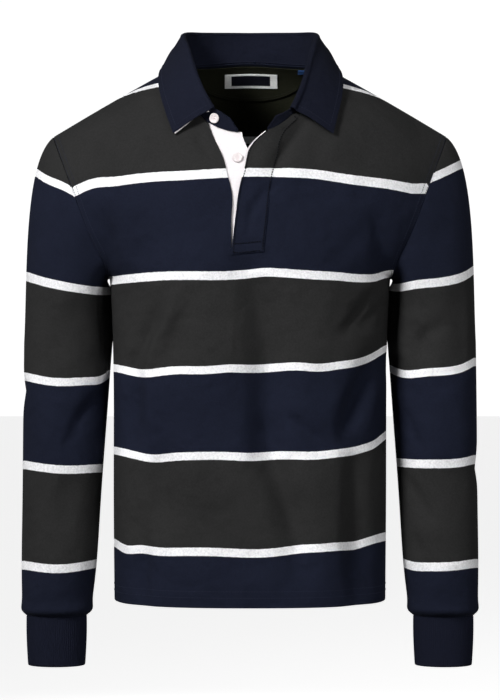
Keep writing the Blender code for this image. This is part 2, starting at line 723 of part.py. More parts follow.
def collar_line(table, c):
    """A collar line at each c from -1, the leaf's left end, to 1; its ends lean to +X."""
    points = curve(table, "c", np.abs(c))
    points[:, 0] = points[:, 0] * np.sign(c) + COLLAR_LEAN * np.abs(c) ** 5
    return points


def collar_frames(seam):
    """For the leaf's columns: c, fold point, outward and up directions."""
    first = len(STAND_END_LEFT) - 1
    last = len(seam) - len(STAND_END_RIGHT)
    lengths = along(seam)
    centre = first + NECK_COLUMNS_LEFT + NECK_COLUMNS_BACK
    span = seam[first : last + 1]
    walked = lengths[first : last + 1] - lengths[centre]
    c = np.where(walked < 0, walked / -walked[0], walked / walked[-1])
    fold = collar_line(COLLAR_FOLD, c)
    tangent = unit(np.gradient(fold, axis=0))
    rise = unit(fold - span)
    outward = unit(np.cross(rise, tangent))
    up = unit(np.cross(tangent, outward))
    back = len(c) // 2
    outward = outward * np.sign(outward[back, 1])
    up = up * np.sign(up[back, 2])
    return first, last, c, fold, outward, up


def stand_grid(seam):
    first, last, c, fold, outward, up = collar_frames(seam)
    core = fold - up * COLLAR_ROLL
    top_inside = core - outward * COLLAR_ROLL
    top = np.zeros_like(seam)
    top[first : last + 1] = top_inside + outward * TWILL - up * SEAM_GAP
    upright = np.array([0.0, 0.0, STAND_END_UPRIGHT])
    for step, height in enumerate(STAND_END_LEFT[::-1][:-1]):
        top[step] = seam[step] + unit(unit(top[first] - seam[first]) + upright) * height
    for step, height in enumerate(STAND_END_RIGHT[::-1][:-1]):
        k = len(seam) - 1 - step
        top[k] = seam[k] + unit(unit(top[last] - seam[last]) + upright) * height
    steps = np.linspace(0, 1, 4)[:, None, None]
    return seam + (top - seam) * steps


def clear_of_body(points, least):
    """Moves points out to at least this height over the front and back."""
    t, v = np.meshgrid(np.linspace(-0.96, 0.96, 161), np.linspace(0.64, 1.0, 91))
    forms = (
        (front_body, -1.0, NECK_FRONT_V, NECK_ROUND["right"]),
        (back_body, 1.0, NECK_BACK_V, NECK_ROUND["back"]),
    )
    places = []
    normals = []
    for form, facing, neck_v, roundness in forms:
        kept = v <= neck_level(t, neck_v, roundness) + 1e-6
        places.append(form(t[kept], v[kept]))
        normals.append(normal_of(form, t[kept], v[kept], facing))
    places = np.concatenate(places)
    normals = np.concatenate(normals)
    tree = KDTree(len(places))
    for i, place in enumerate(places):
        tree.insert(place, i)
    tree.balance()
    moved = points.reshape(-1, 3).copy()
    wanted = np.broadcast_to(least, points.shape[:-1]).reshape(-1)
    for _ in range(3):
        for k, point in enumerate(moved):
            place, i, _ = tree.find(point)
            away = point - np.array(place)
            height = away @ normals[i]
            beside = np.linalg.norm(away - normals[i] * height)
            if height < wanted[k] and beside < CLEAR_REACH:
                moved[k] = point + normals[i] * (wanted[k] - height)
    return moved.reshape(points.shape)


def leaf_grid(seam, seam_normals):
    """The leaf: over the top of the stand, down over the neck seam, and out on the body."""
    first, last, c, fold, outward, up = collar_frames(seam)
    core = fold - up * COLLAR_ROLL
    rows = []
    for angle in np.linspace(0, math.pi, ROLL_ROWS):
        rows.append(core - outward * COLLAR_ROLL * math.cos(angle) + up * COLLAR_ROLL * math.sin(angle))
    start = rows[-1]
    edge = clear_of_body(collar_line(LEAF_EDGE, c), LEAF_HEIGHT)
    foot = seam[first : last + 1]
    away = unit(seam_normals[first : last + 1] + outward)
    chord = edge - start
    share = ((foot - start) * chord).sum(1, keepdims=True) / size(chord) ** 2
    over = start + chord * np.clip(share, *LEAF_OVER)
    height = ((over - foot) * away).sum(1, keepdims=True)
    over = over + away * (np.maximum(LEAF_HEIGHT - height, 0) + LEAF_BOW)
    through = unit(unit(over - start) + unit(edge - over))
    leave = unit(outward * LEAF_FLARE - up)
    for h in np.linspace(0, 1, DROP_ROWS + 1)[1:]:
        rows.append(hermite(start, leave * size(over - start), over, through * size(over - start), h))
    for h in np.linspace(0, 1, LIE_ROWS + 1)[1:]:
        span = size(edge - over)
        rows.append(hermite(over, through * span, edge, unit(edge - over) * span, h))
    grid = np.stack(rows)
    lying = ROLL_ROWS + DROP_ROWS
    grid[lying:] = clear_of_body(grid[lying:], LEAF_HEIGHT)
    return grid


def butt(stand, leaf, seam):
    """Makes the walls of the stand and the leaf meet square along the top of the stand."""
    first, last, _, _, outward, _ = collar_frames(seam)
    top = len(stand.points) - len(seam)
    stand.inward[top + first : top + last + 1] = -outward
    leaf.inward[: len(outward)] = outward


def undercollar_grid(leaf, inward):
    """Under the leaf, set in from its edges, but showing past its left front edge."""
    under = leaf + inward * (TWILL + SEAM_GAP)
    grid = under[ROLL_ROWS + 1 :].copy()
    grid[-1] += unit(grid[-2] - grid[-1]) * UNDERCOLLAR_INSET
    grid[:, -1] += unit(grid[:, -2] - grid[:, -1]) * UNDERCOLLAR_INSET
    grid[:, 0] -= unit(grid[:, 1] - grid[:, 0]) * UNDERCOLLAR_SHOWS
    return grid


# ---------------------------------------------------------------- small pieces


def placket_over_grid():
    """Strip that lies on the front along the right edge of the slit."""
    t, v = front_half("right")
    rows = slice(BOX_ROW, None)
    columns = slice(0, PLACKET_COLUMNS + 1)
    t, v = t[rows, columns], v[rows, columns]
    return front_points(t, v) + normal_of(front_body, t, v, -1.0) * (LAY_GAP + FACING)


def placket_under_grid():
    """Behind the front: from under the left edge of the slit across to its free edge."""
    rows = panel_rows(ARM_ROWS_FRONT)
    levels = level(rows, NECK_FRONT_V)[BOX_ROW:]
    edge_x, _ = slit_line(rows, "left")
    edge_x = edge_x[BOX_ROW:]
    columns = []
    for share in np.linspace(0, 1, 7):
        x = edge_x - UNDER_LAP + share * (UNDER_LAP + PLACKET_WIDTH)
        t = t_at_x(x, levels, front_body)
        v = levels.copy()
        v[-1] = neck_level(t[-1:], NECK_FRONT_V, NECK_ROUND["left"])[0] - UNDER_TOP_DROP
        points = front_points(t, v)
        columns.append(points - normal_of(front_body, t, v, -1.0) * (JERSEY + UNDER_GAP))
    return np.stack(columns, 1)


def sample(grid, rows, columns):
    """The grid read between its points, at fractional row and column numbers."""
    r = np.clip(rows.astype(int), 0, grid.shape[0] - 2)
    c = np.clip(columns.astype(int), 0, grid.shape[1] - 2)
    down = (rows - r)[..., None]
    over = (columns - c)[..., None]
    near = grid[r, c] * (1 - over) + grid[r, c + 1] * over
    far = grid[r + 1, c] * (1 - over) + grid[r + 1, c + 1] * over
    return near * (1 - down) + far * down


def behind(sheet, shape, rows, columns, depth):
    """Points this deep behind the outer face of a sheet, on its own facets."""
    places = sample(sheet.points.reshape(shape), rows, columns)
    inward = sample(-sheet.normals.reshape(shape), rows, columns)
    return places + unit(inward) * depth


def rows_below_top(grid, columns, drop):
    """Fractional row numbers at these lengths below the last row, one column at a time."""
    found = np.zeros(drop.shape)
    for k in range(drop.shape[1]):
        numbers = np.arange(grid.shape[0], dtype=float)
        line = sample(grid, numbers, np.full(len(numbers), columns[k]))[::-1]
        found[:, k] = grid.shape[0] - 1 - np.interp(drop[:, k], along(line), numbers)
    return found


def neck_patch_grid(back, grid):
    """Half-moon inside the back, hanging from the neck seam."""
    middle = SHOULDER_COLUMNS + NECK_COLUMNS_BACK
    reach = NECK_COLUMNS_BACK - PATCH_INSET
    columns = np.linspace(middle - reach, middle + reach, 2 * NECK_COLUMNS_BACK + 1)
    share = np.abs(columns - middle) / reach
    depth = PATCH_DROP * np.maximum(1 - share**2, 0.02) ** 0.55
    drop = PATCH_TOP + np.linspace(1, 0, 5)[:, None] * depth
    rows = rows_below_top(grid, columns, drop)
    columns = np.broadcast_to(columns, rows.shape)
    return behind(back, grid.shape, rows, columns, JERSEY + PATCH_GAP)


def neck_trim_grid(patch, shape, sides, drops):
    """Flat strip on the half-moon: its x range, and its lengths below the half-moon's top."""
    grid = patch.points.reshape(shape)
    top_x = grid[-1, :, 0]
    x = np.linspace(sides[0], sides[1], 7)
    columns = np.interp(x, top_x[::-1], np.arange(len(top_x), dtype=float)[::-1])
    drop = np.linspace(drops[1], drops[0], 3)[:, None] + np.zeros((1, len(x)))
    rows = rows_below_top(grid, columns, drop)
    columns = np.broadcast_to(columns, rows.shape)
    return behind(patch, shape, rows, columns, FACING + LABEL_GAP)


def place_on(sheet, x, z):
    """The sheet's point nearest this x and z seen from the front, and the normal there."""
    best = None
    for face in sheet.faces:
        corners = sheet.points[face]
        if best is None or face_gap(corners, x, z) < best[0]:
            best = face_gap(corners, x, z), face
    corners = sheet.points[best[1]]
    weight = 1 / (np.hypot(corners[:, 0] - x, corners[:, 2] - z) + 1e-4)
    weight = (weight / weight.sum())[:, None]
    normal = unit((sheet.normals[best[1]] * weight).sum(0))
    flat = unit(np.cross(corners[2] - corners[0], corners[3] - corners[1]))
    middle = corners.mean(0)
    y = middle[1] - (flat[0] * (x - middle[0]) + flat[2] * (z - middle[2])) / flat[1]
    return np.array([x, y, z]), normal


def face_gap(corners, x, z):
    return math.hypot(corners[:, 0].mean() - x, corners[:, 2].mean() - z)


def button(centre, normal):
    """A turned disc with a raised rim, lying on the cloth with its back at the centre point."""
    side = unit(np.cross(normal, np.array([0.0, 0.0, 1.0])))
    other = np.cross(normal, side)
    points = [centre + normal * BUTTON_PROFILE[0][1] * BUTTON_THICK]
    for radius, height in BUTTON_PROFILE[1:-1]:
        for k in range(BUTTON_SIDES):
            angle = 2 * math.pi * k / BUTTON_SIDES
            spoke = side * math.cos(angle) + other * math.sin(angle)
            points.append(centre + spoke * radius * BUTTON_RADIUS + normal * height * BUTTON_THICK)
    points.append(centre + normal * BUTTON_PROFILE[-1][1] * BUTTON_THICK)
    triangles = []
    rings = len(BUTTON_PROFILE) - 2
    top = len(points) - 1
    last = top - BUTTON_SIDES
    for k in range(BUTTON_SIDES):
        n = (k + 1) % BUTTON_SIDES
        triangles.append((0, 1 + n, 1 + k))
        for r in range(rings - 1):
            a = 1 + r * BUTTON_SIDES
            b = a + BUTTON_SIDES
            triangles += [(a + k, b + n, b + k), (a + k, a + n, b + n)]
        triangles.append((last + k, last + n, top))
    return np.array(points), triangles


# ---------------------------------------------------------------- objects


def material(name):
    (red, green, blue), roughness = COLOURS[name]
    made = bpy.data.materials.get(name)
    if made is None:
        made = bpy.data.materials.new(name)
        made.use_nodes = True
        shader = made.node_tree.nodes["Principled BSDF"]
        shader.inputs["Base Color"].default_value = (red, green, blue, 1.0)
        shader.inputs["Roughness"].default_value = roughness
        made.diffuse_color = (red, green, blue, 1.0)
    return made


def add_object(name, points, triangles, colour):
    mesh = bpy.data.meshes.new(name)
    mesh.from_pydata([tuple(map(float, p)) for p in points], [], [tuple(map(int, f)) for f in triangles])
    mesh.update()
    mesh.shade_smooth()
    mesh.set_sharp_from_angle(angle=math.radians(50))
    mesh.materials.append(material(colour))
    made = bpy.data.objects.new(name, mesh)
    bpy.context.collection.objects.link(made)
    return made


def main():
    for old in list(bpy.data.objects):
        bpy.data.objects.remove(old, do_unlink=True)

    front = make_front()
    back, back_grid = make_back()
    patch_points = neck_patch_grid(back, back_grid)
    patch = Sheet("neck_patch", patch_points, FACING, "olive_jersey")
    label = neck_trim_grid(patch, patch_points.shape, **LABEL)
    tab = neck_trim_grid(patch, patch_points.shape, **SIZE_TAB)
    sleeve_left = Sheet("sleeve_left", sleeve_grid("left"), JERSEY, "olive_jersey", True, True)
    sleeve_right = Sheet("sleeve_right", mirrored(sleeve_grid("right")), JERSEY, "olive_jersey", False, True)
    cuff_left = Sheet("cuff_left", cuff_grid(), RIB, "navy_rib", True, True)
    cuff_right = Sheet("cuff_right", mirrored(cuff_grid()), RIB, "navy_rib", False, True)
    seam, seam_normals = neck_loop()
    stand = Sheet("collar_stand", stand_grid(seam), TWILL, "navy_twill", True)
    leaf_points = leaf_grid(seam, seam_normals)
    leaf = Sheet("collar", leaf_points, TWILL, "navy_twill", False)

    mitre([[front, back], [sleeve_left], [sleeve_right], [cuff_left], [cuff_right], [stand]])
    butt(stand, leaf, seam)
    sewn = [front, back, sleeve_left, sleeve_right, cuff_left, cuff_right, stand]
    for sheet in sewn + [leaf]:
        draw_back(sheet, SEAM_GAP / 2)

    leaf_inward = leaf.inward.reshape(leaf_points.shape)
    under = undercollar_grid(leaf_points, leaf_inward)
    loose = [
        Sheet("undercollar", under, FACING, "white_facing", False),
        Sheet("placket_over", placket_over_grid(), FACING, "striped_strip"),
        Sheet("placket_under", placket_under_grid(), FACING, "white_facing"),
        patch,
        Sheet("neck_label", label, LABEL_CLOTH, "white_facing"),
        Sheet("size_tab", tab, LABEL_CLOTH, "blue_tab"),
    ]
    for sheet in sewn + [leaf] + loose:
        points, triangles = wall(sheet)
        add_object(sheet.name, points, triangles, sheet.colour)
    placket_under = loose[2]
    for name, sheet, spot in (
        ("button_collar", stand, COLLAR_BUTTON),
        ("button_placket", placket_under, PLACKET_BUTTON),
    ):
        centre, normal = place_on(sheet, *spot)
        points, triangles = button(centre + normal * BUTTON_GAP, normal)
        add_object(name, points, triangles, "button")


main()
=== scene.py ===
"""Looks of the long-sleeved striped jersey polo sweater, filled out as if worn.

The form is the one of the solids, on finer grids and with finer folds, with rounded edges at the
seams, the stripes, the knit and the sewing. Metres, +Z up, the front faces -Y.
"""

import math

import bpy
import numpy as np
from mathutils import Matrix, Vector
from mathutils.kdtree import KDTree


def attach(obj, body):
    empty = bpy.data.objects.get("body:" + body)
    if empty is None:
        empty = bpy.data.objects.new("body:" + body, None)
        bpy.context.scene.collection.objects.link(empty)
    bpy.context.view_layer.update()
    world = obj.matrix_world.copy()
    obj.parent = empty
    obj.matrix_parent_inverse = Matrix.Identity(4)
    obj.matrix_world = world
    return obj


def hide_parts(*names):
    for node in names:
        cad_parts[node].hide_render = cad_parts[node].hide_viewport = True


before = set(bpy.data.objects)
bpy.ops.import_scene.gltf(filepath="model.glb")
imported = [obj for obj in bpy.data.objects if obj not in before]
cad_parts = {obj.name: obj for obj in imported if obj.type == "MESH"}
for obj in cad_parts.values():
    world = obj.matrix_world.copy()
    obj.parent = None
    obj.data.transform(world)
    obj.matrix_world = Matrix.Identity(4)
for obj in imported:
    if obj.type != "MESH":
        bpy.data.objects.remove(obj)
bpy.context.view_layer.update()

# ---------------------------------------------------------------- camera and stage

EYE_Z = -0.354
EYE_AWAY = 3.0
VIEW_HEIGHT = 0.910  # what the picture shows at the object, top to bottom


def make_camera():
    data = bpy.data.cameras.new("camera")
    data.sensor_width = 36.0
    data.lens = 36.0 * EYE_AWAY / VIEW_HEIGHT
    camera = bpy.data.objects.new("camera", data)
    camera.location = (0.0, -EYE_AWAY, EYE_Z)
    camera.rotation_euler = (math.pi / 2, 0.0, 0.0)
    bpy.context.collection.objects.link(camera)
    bpy.context.scene.camera = camera


make_camera()

# ---- cloth
JERSEY = 0.0020  # front, back and sleeves
TWILL = 0.0018  # collar leaf and stand
FACING = 0.0012  # undercollar, placket strips and neck patch
RIB = 0.0026  # cuffs, folded double
LABEL_CLOTH = 0.0010
SEAM_GAP = 0.0003
LAY_GAP = 0.0005  # between a strip and the panel that it lies on
UNDER_GAP = 0.0008  # behind the coarser facets of a panel

# ---- driving sizes
HEM_Z = -0.676
ARMPIT_Z = -0.262
CUFF_SEAM_Z = -0.6965
CUFF_END_Z = -0.7615
SHOULDER_X = 0.2555
NECK_X = 0.088
SLIT_FOOT_X = -0.0230  # free edge of the closed placket
PLACKET_WIDTH = 0.0410
UNDER_LAP = 0.010  # of the under placket behind the left edge of the slit
STAND_LEFT_X = -0.0150  # where the collar stand ends on each side of the slit
COLLAR_ROLL = 0.0040  # radius of the leaf where it folds over the stand
LEAF_HEIGHT = 0.0065  # least height of the leaf's outer face over the body
LEAF_BOW = 0.0025  # bulge of the leaf over the neck seam
LEAF_FLARE = 0.5
UNDERCOLLAR_INSET = 0.0015
# Past the leaf's left front edge, from its top to its tip.
UNDERCOLLAR_SHOWS = dict(
    share=(0.00, 0.03, 0.07, 0.52, 0.66, 1.00),
    out=(0.0006, 0.0006, -0.0008, -0.0008, 0.0004, 0.0013),
)
UNDER_TOP_RISE = 0.0030  # of the under placket's top behind the stand, in levels
BUTTON_RADIUS = 0.0064
BUTTON_THICK = 0.0024
BUTTON_GAP = 0.0007  # over the cloth
COLLAR_BUTTON = (-0.0444, -0.0640)  # x and z of the middle
PLACKET_BUTTON = (-0.0156, -0.1144)
# Radius and height of a turned button, in shares of its own, from the middle of its back.
BUTTON_PROFILE = (
    (0.0, 0.10),
    (0.55, 0.10),
    (0.92, 0.0),
    (1.0, 0.28),
    (0.97, 0.72),
    (0.84, 0.98),
    (0.72, 0.90),
    (0.60, 0.72),
    (0.0, 0.72),
)
PATCH_DROP = 0.055  # depth of the half-moon inside the back
PATCH_LEAST = 0.02  # how blunt its ends are
PATCH_POWER = 0.55  # and how round its lower edge
PATCH_GAP = 0.0012
PATCH_TOP = 0.0035  # below the neck seam
PATCH_INSET = 1.5  # columns of the back between the half-moon's ends and the neck's corners
LABEL_GAP = 0.0005
LABEL = dict(sides=(0.037, -0.034), drops=(0.0115, 0.0340))  # lengths below the half-moon's top
SIZE_TAB = dict(sides=(0.0745, 0.0640), drops=(0.0006, 0.0108))

# ---- levels of the body: v runs from 0 at the hem to 1 on the shoulder ridge
ARMPIT_V = 0.60
EASE_FROM_V = 0.40  # above it the rows sink towards the neckline
HIP_T = 0.44  # where the column that ends at the side of the neck starts, at the hem

# Side seam, up to the armpit.
SIDE_SEAM = dict(
    v=(0.00, 0.16, 0.32, 0.48, 0.56, 0.60),
    x=(0.1755, 0.1765, 0.1765, 0.1775, 0.1800, 0.1825),
    z=(HEM_Z, -0.560, -0.450, -0.345, -0.290, ARMPIT_Z),
)
# Armhole seam, once round from the armpit up the front to the shoulder and down the back.
ARMHOLE = dict(
    turn=(0.000, 0.075, 0.160, 0.250, 0.340, 0.425, 0.500, 0.575, 0.660, 0.750, 0.840, 0.925, 1.000),
    x=(0.1825, 0.1835, 0.1880, 0.2055, 0.2240, 0.2440, SHOULDER_X,
       0.2430, 0.2250, 0.2080, 0.1920, 0.1840, 0.1825),
    y=(0.000, -0.034, -0.062, -0.072, -0.062, -0.036, 0.003, 0.045, 0.073, 0.080, 0.066, 0.036, 0.000),
    z=(ARMPIT_Z, -0.2575, -0.2400, -0.2030, -0.1560, -0.1060, -0.0770,
       -0.1000, -0.1440, -0.1940, -0.2340, -0.2560, ARMPIT_Z),
)
# Cross-sections: the point on the centre line, how square the arc to the side is, how much of
# a quarter turn it makes, and the power of x with which it sinks or rises to the side.
FRONT_SECTIONS = dict(
    v=(0.00, 0.16, 0.32, 0.48, 0.60, 0.70, 0.80, 0.90, 0.95, 1.00),
    z=(HEM_Z, -0.560, -0.450, -0.342, -0.250, -0.185, -0.113, -0.035, 0.010, 0.0615),
    y=(-0.128, -0.131, -0.131, -0.133, -0.136, -0.134, -0.125, -0.098, -0.068, 0.003),
    square=(2.6, 2.6, 2.6, 2.6, 2.5, 2.4, 2.3, 2.2, 2.1, 2.0),
    turn=(1.00, 1.00, 1.00, 1.00, 0.97, 0.86, 0.74, 0.68, 0.66, 0.66),
    power=(2.0, 2.0, 2.0, 2.0, 2.0, 2.0, 2.0, 1.9, 1.6, 1.1),
)
BACK_SECTIONS = dict(
    v=(0.00, 0.16, 0.32, 0.48, 0.60, 0.70, 0.80, 0.90, 0.95, 1.00),
    z=(HEM_Z, -0.560, -0.450, -0.342, -0.250, -0.180, -0.105, -0.022, 0.024, 0.0615),
    y=(0.120, 0.120, 0.114, 0.118, 0.127, 0.130, 0.125, 0.104, 0.077, 0.003),
    square=(2.6, 2.6, 2.6, 2.5, 2.4, 2.3, 2.2, 2.1, 2.1, 2.0),
    turn=(1.00, 1.00, 1.00, 1.00, 0.97, 0.88, 0.78, 0.70, 0.66, 0.66),
    power=(2.0, 2.0, 2.0, 2.0, 2.0, 2.0, 2.0, 2.0, 1.8, 1.1),
)
NECK_FRONT_V = 0.840  # level of the neckline at the centre front
# Of the front's two halves and of the back: that level, and how round the neckline is. Small is a
# flat, square one.
NECK_V = {"left": NECK_FRONT_V, "right": NECK_FRONT_V, "back": 0.955}
NECK_ROUND = {"left": 0.56, "right": 0.90, "back": 0.60}
NECK_TURN = {"left": 6, "right": 6, "back": 3}  # how late the neck's column turns in from the hip

# Edges of the neck slit, height 0 at its foot and 1 at the neckline, metres from SLIT_FOOT_X.
SLIT = dict(
    height=(0.00, 0.08, 0.32, 0.46, 0.61, 0.74, 0.86, 0.93, 1.00),
    left=(0.0000, 0.0000, 0.0004, 0.0010, -0.0045, -0.0100, -0.0190, -0.0240, -0.0280),
    right=(0.0000, 0.0012, 0.0050, 0.0075, 0.0120, 0.0175, 0.0228, 0.0320, 0.0448),
)

# Sleeve sections below the cap. x and y of the middle, half widths across and front to back.
SLEEVE_SECTIONS = dict(
    z=(-0.345, -0.450, -0.560, -0.660, -0.6830, -0.6925, CUFF_SEAM_Z),
    x=(0.2362, 0.2405, 0.2447, 0.2487, 0.2497, 0.2500, 0.2503),
    y=(0.000, -0.002, -0.006, -0.010, -0.011, -0.0113, -0.0115),
    across=(0.0572, 0.0540, 0.0505, 0.0468, 0.0462, 0.0440, 0.0390),
    deep=(0.0620, 0.0570, 0.0510, 0.0440, 0.0425, 0.0390, 0.0300),
)
CUFF_ROWS_Z = (CUFF_SEAM_Z, -0.712, -0.730, -0.746, CUFF_END_Z)
CUFF_SECTIONS = dict(
    z=(CUFF_SEAM_Z, -0.715, CUFF_END_Z),
    x=(0.2503, 0.2503, 0.2503),
    y=(-0.0115, -0.0115, -0.0115),
    across=(0.0390, 0.0391, 0.0370),
    deep=(0.0300, 0.0298, 0.0275),
)
# How the sleeve leaves the armhole, a quarter of the way round at a time from the armpit.
CAP_START = dict(
    turn=(0.00, 0.25, 0.50, 0.75, 1.00),
    out=(1.00, 0.62, 0.80, 0.62, 1.00),
    down=(-0.35, 0.78, 0.60, 0.78, -0.35),
    reach=(0.028, 0.110, 0.150, 0.110, 0.028),
)
CAP_ARRIVAL = (0.05, 0.9)  # its direction where it becomes a tube: across and down, by its depth
SLEEVE_ROUND = 0.34  # about once round the sleeve, metres

# Fold of the collar, c from 0 at the centre back to 1 at the front end of the leaf.
COLLAR_FOLD = dict(
    c=(0.00, 0.13, 0.26, 0.34, 0.41, 0.50, 0.60, 0.70, 0.80, 0.90, 1.00),
    x=(0.0000, 0.0345, 0.0665, 0.0780, 0.0850, 0.0868, 0.0830, 0.0768, 0.0707, 0.0625, 0.0488),
    y=(0.0700, 0.0650, 0.0495, 0.0365, 0.0200, -0.0030, -0.0360, -0.0660, -0.0900, -0.1070, -0.1180),
    z=(0.0678, 0.0674, 0.0656, 0.0642, 0.0612, 0.0550, 0.0440, 0.0250, 0.0025, -0.0225, -0.0510),
)
LEAF_EDGE = dict(
    c=(0.00, 0.13, 0.26, 0.38, 0.50, 0.60, 0.72, 0.85, 1.00),
    x=(0.0000, 0.0340, 0.0680, 0.0960, 0.1125, 0.1150, 0.1143, 0.1090, 0.0985),
    y=(0.1130, 0.1100, 0.0950, 0.0640, 0.0230, -0.0060, -0.0370, -0.0710, -0.1020),
    z=(0.0060, 0.0070, 0.0090, 0.0115, 0.0105, 0.0040, -0.0120, -0.0445, -0.0860),
)
COLLAR_LEAN = 0.0042  # the open collar's front ends lie this far to +X
# Heights of the free ends of the stand, from where the leaf stops to the tip.
STAND_ENDS = {"left": (0.0215, 0.0205, 0.0165, 0.0040), "right": (0.0085, 0.0110, 0.0140, 0.0030)}
STAND_END_UPRIGHT = 1.5  # how much those ends stand straight up
LEAF_OVER = (0.25, 0.65)  # where along its drop the leaf may pass over the neck seam
CLEAR_REACH = 0.006  # sideways distance at which the body's surface still counts as below
CLEAR_T = 0.96  # how far across, and from which level up, that surface is taken
CLEAR_V = 0.64

# ---- grids
FINE = 4  # steps for each one of the solids
SIDE_ROWS = 15
ARM_ROWS_FRONT = (
    0.60, 0.624, 0.6475, 0.6590, 0.700, 0.740, 0.775, 0.810, 0.850, 0.890, 0.930, 0.967, 1.00,
)
BOX_ROW = (SIDE_ROWS + 2) * FINE
SLIT_ROW = (SIDE_ROWS + 3) * FINE
ARM_ROWS_BACK = (0.60, 0.632, 0.668, 0.706, 0.746, 0.786, 0.826, 0.864, 0.899, 0.929, 0.955, 0.978, 1.00)
SHOULDER_COLUMNS = 8 * FINE
PLACKET_COLUMNS = 3 * FINE
# From the slit, or from the centre back, to the side of the neck.
NECK_COLUMNS = {"left": 7 * FINE, "right": PLACKET_COLUMNS + 5 * FINE, "back": 7 * FINE}
ROLL_ROWS = 14  # of the leaf, over the top of the stand
DROP_ROWS = 12  # then down to the neck seam
LIE_ROWS = 18  # and on to its edge
CAP_STEPS = (0.0, 0.05, 0.14, 0.27, 0.42, 0.58, 0.78, 1.0)
SLEEVE_ROWS_Z = (
    -0.375, -0.405, -0.435, -0.468, -0.500, -0.535, -0.570, -0.605, -0.640, -0.668,
    -0.6830, -0.6910, CUFF_SEAM_Z,
)
HALF_TURN = math.pi / 2
MOST_MITRE = 1.5  # longest a mitred wall gets, by its cloth's thickness
SAME_PLACE = 0.00002  # points of two sheets this close lie on one seam

# ---- finer than the solids
RIM_STEPS = 3  # between the outer and the inner face, round an edge
FINE_BEVEL = 0.00005
CUFF_RIBS = 84
RIB_COLUMNS = 4
RIB_DEEP = 0.0006
RIB_FADE = 0.004
# To the left of the over placket, from the slit's foot to the neckline.
FACING_SHOWS = dict(share=(0.00, 0.30, 0.60, 0.85, 1.00), out=(0.0, 0.0008, 0.0018, 0.0028, 0.0032))
FACING_HIDES = 0.0090
FACING_THIN = 0.0005
PLACKET_SINKS = (-0.190, -0.150)  # heights between which the over placket's seam flattens out
PLACKET_THIN = 0.25  # what is left there of its depth
FACING_BACK = 0.0001  # behind the front's inner face
BUTTON_RINGS = 60
BUTTON_SIDES = 64
HOLE_RING = 0.0016  # of the button's four holes, round its middle
HOLE_RADIUS = 0.0007
HOLE_DEEP = 0.0012
HOLE_STEEP = 6  # power of the distance from its middle
BUTTON_FACE = 0.45  # share of the rings, from the middle, that the holes may dimple
STITCH = 0.0027
STITCH_GAP = 0.0007
THREAD_RADIUS = 0.00030
HEM_STITCHES = (0.013, 0.021)  # above the edge
ARMHOLE_STITCHES = (0.0015, 0.0075)  # inside the seam
CUFF_STITCHES = 0.0015
COLLAR_STITCHES = 0.0072
PLACKET_STITCHES = 0.0022
PLACKET_THREAD_RADIUS = 0.00060
BOX_HEIGHT = 0.0135
PATCH_STITCHES = (0.0015, 0.0050)
STITCH_ANGLES = tuple(2 * math.pi * k / 5 for k in range(5))  # of its five-sided section
# One stitch: how far from its middle towards an end, then its height and its width in radii.
STITCH_PROFILE = ((-1, -0.6, 0.45), (-0.75, 0.35, 1.0), (0, 0.6, 1.1), (0.75, 0.35, 1.0), (1, -0.6, 0.45))
LABEL_INLAY = dict(across=(0.0100, 0.0620), up=(0.0040, 0.0190))

# ---- stage
FLOOR_Z = -1.30
FLOOR_REACH = 30.0
FLOOR_GLOW = 0.75
DOME_LIGHT = 0.14  # from all round
ROOM_WHITE = 1.05
LIGHTS = (
    dict(name="key", place=(-3.4, -4.0, 2.2), aim=(0.0, 0.0, -0.08), across=1.5, power=20.5, spread=40),
    dict(name="fill", place=(3.0, -4.4, 0.6), aim=(0.0, 0.0, -0.25), across=2.0, power=29.0, spread=100),
    dict(name="back", place=(0.0, 4.2, 0.1), aim=(0.0, 0.0, -0.30), across=1.0, power=36.0, spread=90),
)

